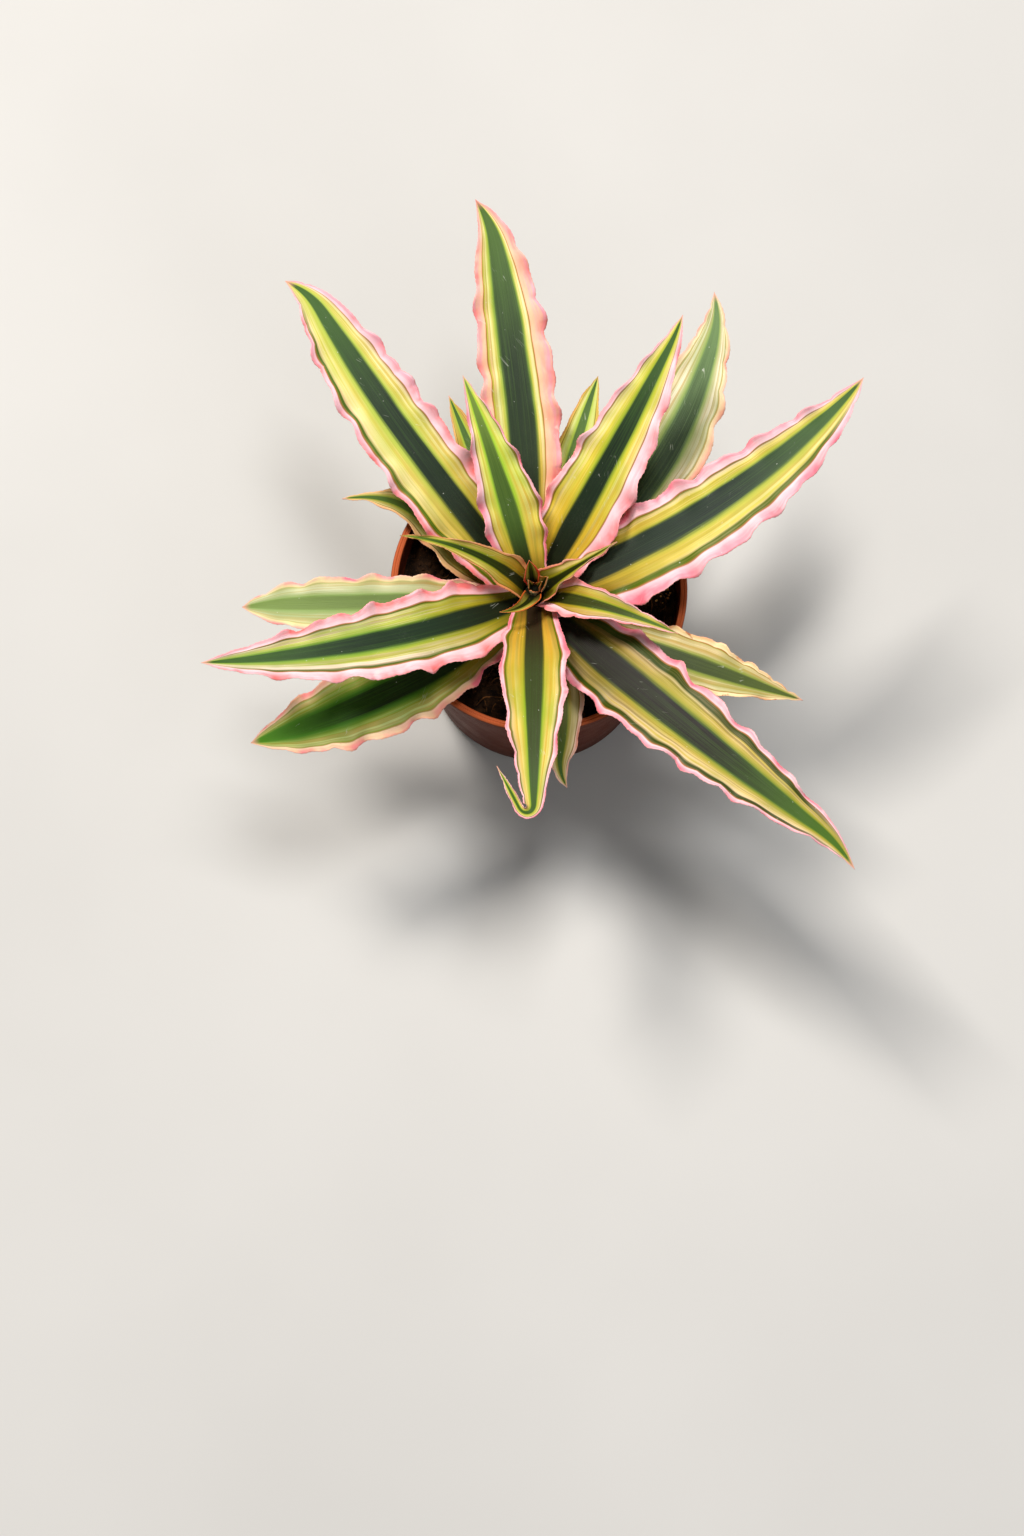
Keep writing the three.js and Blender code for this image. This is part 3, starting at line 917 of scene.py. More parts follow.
@dataclass
class Soil:
    """The pot's filling, with crumbs, fibres and grit lying on it."""

    top: float = 88.5
    mound: float = 2.5  # how much higher it is round the stem
    mound_reach: float = 40.0  # from the stem's axis
    lump: float = 0.9
    lumps_end: float = 52.0  # how far from the pot's axis the lumps have faded
    lumps_fade: float = 12.0  # over this last stretch
    # Each layer of relief: how fine it is, its place in the noise, and its height.
    relief: tuple[Triple, ...] = ((0.22, 3.0, 1.1), (0.75, 9.0, 0.75), (1.9, 5.0, 0.35))
    gap: float = 0.3  # from the pot's wall
    outer: float = 55.7  # radius of the top's outer edge
    highest: float = 92.5  # where the top's relief is cut off
    stem_hole: float = 6.9
    hole_bottom: float = 73.7
    sides: int = 220
    rows: int = 56  # from the top's edge to the stem's hole
    reach: float = 54.0  # how far from the pot's axis anything lies on it
    bare: float = 9.0  # how near the stem's axis anything starts
    fibre_bare: float = 8.0  # and how near it a fibre may creep
    crumbs: int = 900
    grit: int = 460
    heaps: int = 30  # that the grit lies in
    heap: float = 3.0  # how far a heap spreads round its middle
    fibres: int = 150
    fibre_length: Pair = (5.0, 17.0)
    fibre_radius: Pair = (0.13, 0.30)
    fibre_bend: float = 0.16  # spread of a fibre's steady turn, in radians a step
    fibre_shake: float = 0.10  # and of its unsteady one
    fibre_sides: int = 6
    seed: int = 7

    def from_stem(self, x: float, y: float) -> float:
        """Gives a place's distance from the stem's axis, in millimetres."""
        return math.hypot(x - STEM_PLACE[0], y - STEM_PLACE[1])

    def height(self, x: float, y: float) -> float:
        """Gives the smooth height of the soil at a place, in millimetres."""
        from_stem = self.from_stem(x, y)
        from_pot = math.hypot(x, y)
        lumps = math.sin(x * 0.31 + 1) * math.cos(y * 0.27) + 0.6 * math.sin(x * 0.7 - y * 0.55)
        fade = 1 - smooth((from_pot - (self.lumps_end - self.lumps_fade)) / self.lumps_fade)
        mound = self.mound * (1 - smooth(from_stem / self.mound_reach))
        return self.top + mound + self.lump * lumps * fade

    def rough_height(self, x: float, y: float) -> float:
        """Gives the height with its crumbly relief, in millimetres."""
        z = self.height(x, y)
        for fineness, layer, size in self.relief:
            z += size * noise.noise(Vector((x * fineness, y * fineness, layer)))
        return z

    def build(self, effects: Effects) -> None:
        """Builds the filling and what lies on it.

        Args:
            effects: the shared node groups.
        """
        draw = np.random.default_rng(self.seed)
        skin = EarthFinish("potting_soil", "160e09", "3c2615", "7a4f2a")
        settle(self.filling(), Slot.SOIL, skin.material(effects), "soil")
        lying = (
            (self.lumps("soil_crumbs", draw, self.crumbs, small=0.45, large=1.5, flat=(0.6, 1.0)),
             EarthFinish("soil_crumbs", "24160d", "553620", "8f6238")),
            (self.lumps("soil_grit", draw, self.grit, small=0.26, large=0.85, flat=(0.7, 1.0),
                        clusters=self.heaps),
             EarthFinish("soil_grit", "b87c40", "e4b06c", "fbe2b0", 0.8, 0.0003)),
            (self.threads("soil_fibres", draw, self.fibres),
             EarthFinish("soil_fibres", "4a2c16", "84552c", "b07c48", 0.85, 0.0002)))
        for piece, finish in lying:
            settle(piece, Slot.SOIL, finish.material(effects))

    def filling(self) -> bpy.types.Object:
        """Makes the filling's closed body, with the stem's hole.

        Returns:
            The soil object.
        """
        sides = self.sides
        pot = Pot()
        # The bottom and the corner round it, the wall's inside, and the top's rounded edge.
        rings = [(20.0, 2.1), (44.0, 2.1), (45.4, 2.4)]
        rings += [(pot.inner_radius(z) - self.gap, float(z)) for z in np.linspace(4, 86, 10)]
        rings += [(54.6, 87.4), (55.3, 87.9)]
        points = [point for radius, z in rings for point in circle(radius, z, sides)]
        # The top, from its edge in to the stem's hole, and the wall of the hole.
        edge = np.array(circle(self.outer, 0.0, sides))
        hole = np.array(circle(self.stem_hole, 0.0, sides, STEM_PLACE))
        for t in np.linspace(0, 1, self.rows):
            for x, y, _ in mix(edge, hole, t):
                points.append((float(x), float(y), min(self.rough_height(x, y), self.highest)))
        for z in (84.0, 78.0, self.hole_bottom):
            points += circle(self.stem_hole, z, sides, STEM_PLACE)
        last = len(points) // sides - 1
        faces: list[tuple[int, ...]] = []
        for i in range(last):
            for j in range(sides):
                k = (j + 1) % sides
                faces.append((i * sides + j, i * sides + k, (i + 1) * sides + k,
                              (i + 1) * sides + j))
        faces.append(tuple(reversed(range(sides))))
        faces.append(tuple(last * sides + j for j in range(sides)))
        return make_object("soil", np.array(points) * MM, faces)

    def spot(self, draw: np.random.Generator, middle: Pair | None = None) -> Pair:
        """Draws a place on the soil, clear of the wall and of the stem.

        Args:
            draw: the seeded source.
            middle: a cluster's middle, or None for anywhere.

        Returns:
            x and y in millimetres.
        """
        while True:
            if middle is None:
                x, y = draw.uniform(-self.reach, self.reach, 2)
            else:
                x, y = np.array(middle) + draw.normal(0, self.heap, 2)
            if math.hypot(x, y) < self.reach and self.from_stem(x, y) > self.bare:
                return float(x), float(y)

    def lumps(self, name: str, draw: np.random.Generator, count: int, small: float, large: float,
              flat: Pair, clusters: int = 0) -> bpy.types.Object:
        """Strews small uneven lumps on the soil.

        Args:
            name: the piece's name.
            draw: the seeded source.
            count: how many.
            small: the least radius, in millimetres.
            large: the greatest radius, in millimetres.
            flat: the range of a lump's height over its width.
            clusters: how many heaps they lie in, or 0 for an even spread.

        Returns:
            One object that holds them all.
        """
        form = bmesh.new()
        bmesh.ops.create_icosphere(form, subdivisions=2, radius=1.0)
        ball = np.array([v.co[:] for v in form.verts])
        ball_faces = np.array([[v.index for v in f.verts] for f in form.faces])
        form.free()
        middles = [self.spot(draw) for _ in range(clusters)]
        parts = []
        for _ in range(count):
            middle = middles[draw.integers(clusters)] if clusters else None
            x, y = self.spot(draw, middle)
            size = small + (large - small) * draw.random() ** 2.2
            stretch = np.array((draw.uniform(0.8, 1.2), draw.uniform(0.7, 1.1),
                                draw.uniform(*flat)))
            turn = draw.uniform(0, 2 * math.pi)
            spin = np.array(((math.cos(turn), -math.sin(turn), 0),
                             (math.sin(turn), math.cos(turn), 0), (0, 0, 1)))
            bumps = np.ones(len(ball))
            for depth, turns in ((0.28, 2.6), (0.16, 5.0)):
                bumps += depth * np.sin(ball @ draw.normal(0, turns, 3) + draw.uniform(0, 6))
            lump = (ball * bumps[:, None] * stretch * size) @ spin.T
            lump += (x, y, self.rough_height(x, y) + 0.25 * size)
            parts.append((lump, ball_faces))
        return join(name, parts)

    def threads(self, name: str, draw: np.random.Generator, count: int) -> bpy.types.Object:
        """Lays thin bent root fibres on the soil.

        Args:
            name: the piece's name.
            draw: the seeded source.
            count: how many.

        Returns:
            One object that holds them all.
        """
        parts = []
        for _ in range(count):
            x, y = self.spot(draw)
            heading = draw.uniform(0, 2 * math.pi)
            bend = draw.normal(0, self.fibre_bend)
            length = draw.uniform(*self.fibre_length)
            radius = draw.uniform(*self.fibre_radius)
            steps = max(6, int(length))
            path = []
            for i in range(steps + 1):
                path.append((x, y, self.rough_height(x, y) + 0.25 + 0.5 * math.sin(i * 0.7)))
                heading += bend + draw.normal(0, self.fibre_shake)
                x += math.cos(heading) * length / steps
                y += math.sin(heading) * length / steps
                if math.hypot(x, y) > self.reach or self.from_stem(x, y) < self.fibre_bare:
                    break
            if len(path) < 4:
                continue
            parts.append(make_tube(np.array(path), radius, self.fibre_sides))
        return join(name, parts)


def join(name: str, parts: Sequence[tuple[np.ndarray, np.ndarray]]) -> bpy.types.Object:
    """Joins many small meshes in one object.

    Args:
        name: the piece's name.
        parts: each one's points in millimetres and its faces' corner numbers.

    Returns:
        The object.
    """
    bases = np.cumsum([0] + [len(points) for points, _ in parts[:-1]])
    faces = [corners + base for (_, corners), base in zip(parts, bases)]
    return make_object(name, np.concatenate([points for points, _ in parts]) * MM,
                       np.concatenate(faces))


def make_tube(path: np.ndarray, radius: float, sides: int) -> tuple[np.ndarray, np.ndarray]:
    """Makes a thin closed tube along a path, pointed at both ends.

    Args:
        path: its points, one a row.
        radius: its radius in the middle.
        sides: points round it.

    Returns:
        Points and triangles.
    """
    along = np.gradient(path, axis=0)
    along /= np.linalg.norm(along, axis=1)[:, None]
    side = np.cross(along, (0.0, 0.0, 1.0))
    side /= np.linalg.norm(side, axis=1)[:, None] + 1e-9
    up = np.cross(side, along)
    angles = np.linspace(0, 2 * math.pi, sides, endpoint=False)
    thick = radius * np.clip(np.sin(np.linspace(0.12, math.pi - 0.12, len(path))) * 1.6, 0.2, 1)
    rings = (path[:, None] + thick[:, None, None]
             * (np.cos(angles)[None, :, None] * side[:, None]
                + np.sin(angles)[None, :, None] * up[:, None]))
    points = rings.reshape(-1, 3)
    faces = []
    for i in range(len(path) - 1):
        for j in range(sides):
            a, b = i * sides + j, i * sides + (j + 1) % sides
            faces += [(a, b + sides, b), (a, a + sides, b + sides)]
    start, end = len(points), len(points) + 1
    points = np.vstack([points, path[:1], path[-1:]])
    last = (len(path) - 1) * sides
    for j in range(sides):
        k = (j + 1) % sides
        faces += [(start, j, k), (end, last + k, last + j)]
    return points, np.array(faces)


@dataclass
class Stem:
    """The short woody stem that carries the leaves, ringed where old leaves grew."""

    top: float = 118.3
    bottom: float = 74.0
    radius: float = 6.6
    point: float = 2.5  # height of the pointed growing tip
    clearance: float = 0.6  # from the leaf roots
    ring_height: float = 2.4  # from one old leaf's scar to the next
    ring_depth: float = 0.16
    row: float = 0.6  # from one ring of points to the next
    tip: float = 0.3  # how narrow it gets towards the tip, over its width without a point
    sides: int = 72

    def radius_at(self, z: float) -> float:
        """Gives the stem's radius at a height, clear of the leaf roots."""
        roots = ROOT_RADIUS + (ROOT_TOP - z) * ROOT_RADIUS_PITCH / ROOT_PITCH
        return min(roots - self.clearance, self.radius)

    def build(self, effects: Effects) -> None:
        """Turns the stem with its rings and dresses it.

        Args:
            effects: the shared node groups.
        """
        shoulder = self.top - self.point
        outline = [(0.0, self.bottom), (self.radius * 0.6, self.bottom + 1.0)]
        for z in np.arange(self.bottom + 2.5, shoulder, self.row):
            ring = self.ring_depth * math.sin(2 * math.pi * z / self.ring_height)
            outline.append((self.radius_at(z) - self.ring_depth + ring, float(z)))
        for t in np.linspace(0.0, 1.0, 8)[:-1]:
            z = shoulder + self.point * float(t)
            narrow = mix(1.0, self.tip, t ** 0.8)
            outline.append((self.radius_at(z) * float(narrow), z))
        outline += [(self.radius_at(self.top) * 0.25, self.top - 0.05), (0.0, self.top)]
        stem = turned("stem", outline, self.sides, STEM_PLACE)
        # The stem is painted near black: painted shade of the deep hollow among the leaf roots.
        finish = EarthFinish("stem_painted_shade", "0c0e07", "191d0b", "0a0806", 0.9, 0.0003)
        settle(stem, Slot.STEM, finish.material(effects), "stem")


# ------------------------------------------------------------------ leaves


@dataclass(frozen=True)
class LeafForm:
    """One leaf's shape in millimetres and degrees, with its solid's values where it has one."""

    azimuth: float  # heading at the root, from +X towards +Y
    length: float
    width: float
    rise: float  # slope at the root
    droop: float  # slope at the tip
    bend: float = 0.0  # how far the heading turns from root to tip
    arch: float = 0.8  # how late the slope changes
    widest: float = 0.4  # share of the length where it is widest
    neck: float = 0.55  # width at the root, over the width
    taper: float = 2.0  # how late it narrows to the tip
    cup: float = 0.12  # how high the edges stand, over the half width
    root_cup: float = 0.14  # the same at the root
    roll: float = 0.0  # turn about its own length
    waves: float = 6.0  # large waves along each edge
    tail: float = 1.0  # share of the length where a narrow tail begins
    curl: float = 0.0  # a further turn of the heading
    curl_from: float = 0.8  # shares of the length between which it turns
    curl_to: float = 1.0
    inset: float = 0.0  # how much nearer the stem's axis the root is than its turn gives
    sunk: float = 0.0  # how much lower it is


@dataclass(frozen=True)
class LeafEdge:
    """How one leaf's edges are scalloped, and where its stripes lie."""

    left_frill: float = 1.0  # depth of the fine scallops, over the usual depth
    right_frill: float = 1.0
    left_pitch: float = 10.0  # millimetres from one scallop to the next
    right_pitch: float = 10.0
    stripe_shift: float = 0.0  # of the dark centre towards the left edge, over the half width


@dataclass(frozen=True)
class LeafFinish:
    """One leaf's colours and stripes.

    Colours are six hex digits. Widths and places are shares of the half width.
    """

    centre: str = "1b281a"
    centre_root: str = "191b0c"
    centre_tip: str = "3f6226"
    halo: str = "9fba38"
    light: str = "e3d566"
    streak: str = "fbe7ad"
    root: str = "b48418"
    line: str = "526205"
    seam: str = "a26a26"
    margin_inner: str = "fcd6da"
    margin: str = "fbabb6"
    blush: str = "f8788a"
    edge: str = "f6a99c"
    centre_width: float = 0.28
    centre_softness: float = 0.055
    left_margin: float = 0.80
    right_margin: float = 0.80
    left_line: float = 0.03
    right_line: float = 0.03
    root_flare: float = 0.05  # how much wider the margins are near the root
    scurf: float = 0.5
    rust: float = 0.0
    bloom_tone: str = "b3bda6"
    fleck_tone: str = "e6e9d8"
    rust_tone: str = "b4562a"
    underside_tone: str = "b7bb98"
    roughness: float = 0.46
    shine: float = 0.14
    grain: float = 0.7
    grain_depth: float = 0.00014  # metres

    def value(self, label: str) -> str | float:
        """Gives the value that goes in the stripes' input of that label."""
        return getattr(self, label.lower().replace(" ", "_"))

    def material(self, name: str, effects: Effects) -> bpy.types.Material:
        """Makes the material.

        Args:
            name: its name.
            effects: the shared node groups.

        Returns:
            The leaf's material.
        """
        made, g, shader = new_material(name)
        blade = g.node("Attribute", attribute_name="blade").outputs["Vector"]
        place = g.node("Attribute", attribute_name="place").outputs["Vector"]
        under = g.node("Attribute", attribute_name="underside").outputs["Fac"]
        bands = place_group(g, effects.stripes, {
            "Blade": blade, "Place": place,
            **{label: tone(self.value(label)) for label in LEAF_COLOURS},
            **{label: self.value(label) for label in LEAF_WIDTHS}})
        silver = place_group(g, effects.scurf, {"Place": place, "Amount": self.scurf})
        spots = place_group(g, effects.rust, {"Place": place, "Margin": bands["Margin"],
                                              "Amount": self.rust})
        relief = place_group(g, effects.ribs, {"Place": place})
        on_dark = g.times(silver["Bloom"], g.times(bands["Centre"], 0.12))
        colour = g.coats(
            bands["Color"],
            (on_dark, tone(self.bloom_tone)),
            (silver["Flecks"], tone(self.fleck_tone)),
            (g.times(spots["Mask"], 0.8), tone(self.rust_tone)),
            (g.times(under, 0.5), tone(self.underside_tone)))
        g.put(shader.inputs["Base Color"], colour)
        rough = g.add(g.times(silver["Bloom"], 0.16), g.times(relief["Height"], 0.10))
        g.put(shader.inputs["Roughness"], g.add(rough, self.roughness - 0.05))
        emboss(g, shader, self.grain, self.grain_depth, relief["Height"])
        shader.inputs["Specular IOR Level"].default_value = self.shine
        return made


@dataclass(frozen=True)
class Leaf:
    """One leaf: its name, its shape, its finish and its edges."""

    name: str
    form: LeafForm
    finish: LeafFinish
    edge: LeafEdge = LeafEdge()


INNER = LeafFinish(centre="3a511d", centre_root="1b1b08", centre_tip="537526", light="e6df6b",
                   streak="f4e78a", halo="a0c53a")

HEART = replace(INNER, centre="1b2204", centre_root="0a0a05", centre_tip="464c00", halo="4f6102",
                light="8e8530", streak="c9aa53", root="2b2308", line="47470a", seam="a64424",
                margin_inner="e66810", margin="db5e17", blush="c45b26", edge="e68a52",
                left_margin=0.90, right_margin=0.90, root_flare=0.0, scurf=0.2)

LEAVES = [
    Leaf("leaf_heart_west",
         LeafForm(258, 22, 7.4, 60, 14, bend=-72, widest=0.2, neck=0.86, taper=1, cup=0.5,
                  root_cup=0.5, waves=1),
         HEART),
    Leaf("leaf_heart_south",
         LeafForm(15, 12, 5.4, 84, 78, neck=0.75, cup=0.6, root_cup=0.5, waves=1),
         HEART),
    Leaf("leaf_heart_north",
         LeafForm(103, 13, 6.5, 80, 55, neck=0.75, cup=0.55, root_cup=0.5, waves=1),
         replace(HEART, margin_inner="f06737", margin="e83c27", blush="e04332", edge="e8503e",
                 left_margin=0.78, right_margin=0.78)),
    Leaf("leaf_heart_northeast",
         LeafForm(14, 41, 13.4, 60, 20, bend=14, arch=1, widest=0.14, neck=0.9, taper=0.8,
                  cup=0.45, root_cup=0.55, roll=-30, waves=3),
         replace(HEART, centre_root="121207", halo="607602", light="b0a02b", streak="e8cc7d",
                 root="786d0c", margin_inner="f6b89e", margin="f29e8e", blush="e07b53",
                 edge="f0a888")),
    Leaf("leaf_inner_northwest",
         LeafForm(152, 61, 14, 58, 10, bend=27, widest=0.25, neck=0.84, taper=0.75, cup=0.34,
                  root_cup=0.5, roll=-10, waves=3),
         replace(INNER, centre="283103", halo="839217", light="a8a139", streak="ead47a",
                 seam="8f4621", margin_inner="f1b166", margin="f2b687", blush="e08655",
                 edge="b0703a", left_margin=0.9, right_margin=0.86, root_flare=0.06)),
    Leaf("leaf_inner_east",
         LeafForm(338.6, 64, 16, 52, 2, bend=-4.5, widest=0.25, neck=0.65, taper=1.1, cup=0.3,
                  root_cup=0.45, roll=10, waves=3),
         replace(INNER, centre="353b0a", halo="7f901b", light="c2b139", streak="dcb887",
                 margin="fb9193", blush="fb898b", left_margin=0.86, root_flare=0.34),
         LeafEdge(left_frill=1.2, right_frill=2.4, left_pitch=7.5, right_pitch=9.0)),
    Leaf("leaf_inner_north",
         LeafForm(107.7, 90, 24.5, 48, 18, bend=6, arch=1, widest=0.35, neck=0.62, taper=1.4,
                  waves=5),
         replace(INNER, centre="4a6628", centre_tip="7a9440", halo="a1d034", light="e4d95c",
                 streak="f4e987", root="d8ac38", line="868619", left_margin=0.72, right_margin=0.9,
                 left_line=0.04, right_line=0.06, root_flare=0),
         LeafEdge(left_frill=0.6, right_frill=0.8, stripe_shift=0.05)),
    Leaf("leaf_inner_south",
         LeafForm(269.7, 126, 26.5, 42, -10, arch=1, widest=0.27, neck=0.64, taper=1.7, waves=5,
                  tail=0.88, curl=-153, curl_from=0.775, curl_to=0.855),
         replace(INNER, centre="38421f", centre_root="301a13", centre_tip="3c6418", halo="86a51f",
                 light="ccb848", streak="e8d37e", root="cf9a30", line="526405", left_margin=0.82,
                 right_margin=0.89, left_line=0.07, right_line=0.08, root_flare=0.03),
         LeafEdge(left_frill=0.8, right_frill=1.2)),
    Leaf("leaf_northeast",
         LeafForm(55.5, 122, 32, 36, 10, bend=8.5, widest=0.25, taper=1.9, curl=6.5,
                  curl_from=0.86),
         LeafFinish(halo="9db02e", light="dcca3c", streak="f8e496", root="cc9c28", blush="fa8a8c",
                    centre_width=0.26, left_margin=0.84, right_margin=0.64, right_line=0.01),
         LeafEdge(left_frill=0.7, right_frill=0.9, stripe_shift=0.07)),
    Leaf("leaf_west",
         LeafForm(210.5, 137, 32.5, 34, 0, bend=-29, widest=0.24, taper=2.2, waves=7),
         LeafFinish(centre="203020", halo="70962e", light="bdc44b", streak="f4dac0", root="9c8a0c",
                    line="4a5c12", blush="f77a76", centre_width=0.24, left_margin=0.70,
                    right_margin=0.70, left_line=0.07, right_line=0.05),
         LeafEdge(stripe_shift=-0.08)),
    Leaf("leaf_east",
         LeafForm(12, 156, 36, 29, 2, bend=39, widest=0.2, neck=0.6, taper=2.7, waves=8, curl=3,
                  curl_from=0.86),
         LeafFinish(centre="28332a", centre_tip="486831", halo="a3af3a", light="dcc94c",
                    streak="f3da90", root="b08c1c", line="4c6204", left_margin=0.69,
                    right_margin=0.74, right_line=0.12),
         LeafEdge(left_frill=1.5, left_pitch=19.0, right_pitch=9.5, stripe_shift=0.22)),
    Leaf("leaf_northwest",
         LeafForm(134, 158, 32, 24, 0, bend=-15, widest=0.3, neck=0.64, taper=3.6, waves=8,
                  curl=31, curl_from=0.86),
         LeafFinish(halo="a8bb42", light="dacb62", streak="eddc96", root="c49e2c", line="426204",
                    seam="a8701c", margin_inner="fcd0d8", margin="faa8b6", blush="f87a78",
                    left_margin=0.87, right_margin=0.73, left_line=0.09, right_line=0.01),
         LeafEdge(left_frill=1.1, left_pitch=10.5, right_pitch=9.3, stripe_shift=-0.08)),
    # Its Root tone is dark brown as painted shade near the root; its tan streaks take the same
    # tone.
    Leaf("leaf_southeast",
         LeafForm(313, 167.5, 34.3, 27, -6, bend=10.5, widest=0.26, neck=0.54, taper=1.95, waves=8,
                  curl=-20, curl_from=0.85),
         LeafFinish(centre="1d1812", centre_root="120c08", centre_tip="4c7022", halo="8a9028",
                    light="c8ac44", streak="e8cd96", root="6a4a10", line="2c4004", margin="faa4b3",
                    centre_width=0.33, left_margin=0.84, right_margin=0.86, left_line=0.18,
                    right_line=0.12),
         LeafEdge(left_frill=1.5, left_pitch=24.0, right_pitch=9.0, stripe_shift=-0.02)),
    Leaf("leaf_north",
         LeafForm(92, 159, 29.5, 21, 5, bend=10, neck=0.54, taper=3.1, waves=8, curl=21,
                  curl_from=0.84),
         LeafFinish(centre="25331f", centre_root="1d1b16", centre_tip="4e6c2e", halo="8eab38",
                    light="d6c958", streak="fbeab0", root="b88428", line="a9a92a",
                    margin_inner="fac69c", blush="f0807a", edge="ea8a88", centre_width=0.38,
                    left_margin=0.72, right_margin=0.58, left_line=0.05, right_line=0.01,
                    rust=0.45),
         LeafEdge(left_frill=0.4, right_frill=1.8, right_pitch=12.5, stripe_shift=0.03)),
    Leaf("leaf_outer_west",
         LeafForm(185, 111, 22.5, 17, -8, bend=-6, taper=4.5),
         LeafFinish(centre="64783a", centre_root="54702f", centre_tip="768e45", halo="88a258",
                    light="b9bd8e", streak="d2d4aa", line="a8b464", seam="c8b880",
                    margin_inner="ede0a0", margin="f6cdb4", rust=0.3),
         LeafEdge(left_frill=0.8, right_frill=1.8, left_pitch=9.0, right_pitch=17.0,
                  stripe_shift=-0.12)),
    Leaf("leaf_outer_northeast",
         LeafForm(39.4, 145, 34.5, 16, 0, bend=40, widest=0.5, taper=1.5, waves=7, curl=17,
                  curl_from=0.84),
         LeafFinish(centre="263a1c", centre_root="192b0d", centre_tip="6f8c56", halo="86a04a",
                    light="d8d0a0", streak="f6eccf", line="939f51", seam="c0a060",
                    margin_inner="f4e7b3", margin="fbc0a9", blush="f7a48b", centre_width=0.3,
                    scurf=0.9, rust=0.5),
         LeafEdge(left_frill=1.3, right_frill=1.3, left_pitch=8.0, right_pitch=13.0,
                  stripe_shift=-0.14)),
    Leaf("leaf_outer_southwest",
         LeafForm(221, 122, 34, 14, -8, bend=-28, widest=0.45, neck=0.46, taper=2.6, waves=7),
         LeafFinish(centre="1c2e14", centre_tip="4a8413", halo="44811d", light="98b03a",
                    streak="d8de8a", line="829a38", seam="a08a40", margin_inner="fadab2",
                    margin="f4b692", centre_width=0.30, rust=0.5),
         LeafEdge(left_frill=1.2)),
    Leaf("leaf_outer_east",
         LeafForm(334.5, 108.5, 22.5, 17, -12, bend=10, widest=0.6, taper=1.2),
         LeafFinish(centre="37421f", centre_tip="53622c", halo="7f8f34", light="c6b270",
                    streak="ecdcae", line="a1902f", margin_inner="f8e6b4", margin="f6cf92",
                    blush="e89a68", rust=0.9),
         LeafEdge(left_frill=1.5, left_pitch=7.5)),
    Leaf("leaf_low_northeast",
         LeafForm(76, 89.5, 15, 21, 0, bend=-4, arch=0.9, taper=3, waves=4),
         LeafFinish(centre="556f23", light="cbce6b", streak="e0df95", margin_inner="d6c759",
                    margin="d09147", blush="ca9852", edge="ca8e53", rust=0.6)),
    Leaf("leaf_low_west",
         LeafForm(148, 84, 19, 20, -8, bend=-20, arch=1, widest=0.35, taper=1.4, roll=18, waves=4,
                  curl=55, curl_from=0.5),
         LeafFinish(centre="4c520e", halo="72851d", light="aaa54d", streak="d8cc8d",
                    margin_inner="f7cf93", margin="f0bb7b", blush="e8a572")),
    Leaf("leaf_low_south",
         LeafForm(293.5, 73, 16.5, 26, -32, bend=-40, arch=1.3, taper=2.2, waves=4, curl=45,
                  curl_from=0.78),
         LeafFinish(centre="5e6022", halo="7a8124", light="c4aa5c", streak="e8d49e", line="797f1e",
                    margin_inner="f4d6c0", margin="f0b8a4", blush="e08a70", centre_width=0.22,
                    rust=0.4),
         LeafEdge(left_frill=1.5, right_frill=1.5, left_pitch=8.0)),
    Leaf("leaf_low_northwest",
         LeafForm(112, 85, 17, 20, 0, arch=0.9, taper=1.8, waves=4),
         LeafFinish(centre="48640f", light="a09936", streak="c2ad5b", margin_inner="dcb369",
                    margin="d09b51", blush="c8965b", rust=0.4)),
]

# The unopened leaflets at the stem's tip. They stand for no solid.
BUD_FORM = LeafForm(21.3, 8.0, 3.6, 88, 73, widest=0.3, neck=0.9, taper=1.3, cup=0.4,
                    root_cup=0.33, waves=1, inset=1.38, sunk=2.31)
BUD = [
    Leaf("bud_first", BUD_FORM, HEART),
    Leaf("bud_second", replace(BUD_FORM, azimuth=141.3, length=7.2, width=3.45, sunk=2.06),
         replace(HEART, light="a89a38", streak="e0c070")),
    Leaf("bud_third", replace(BUD_FORM, azimuth=261.3, length=6.4, width=3.3, sunk=1.81), HEART),
]


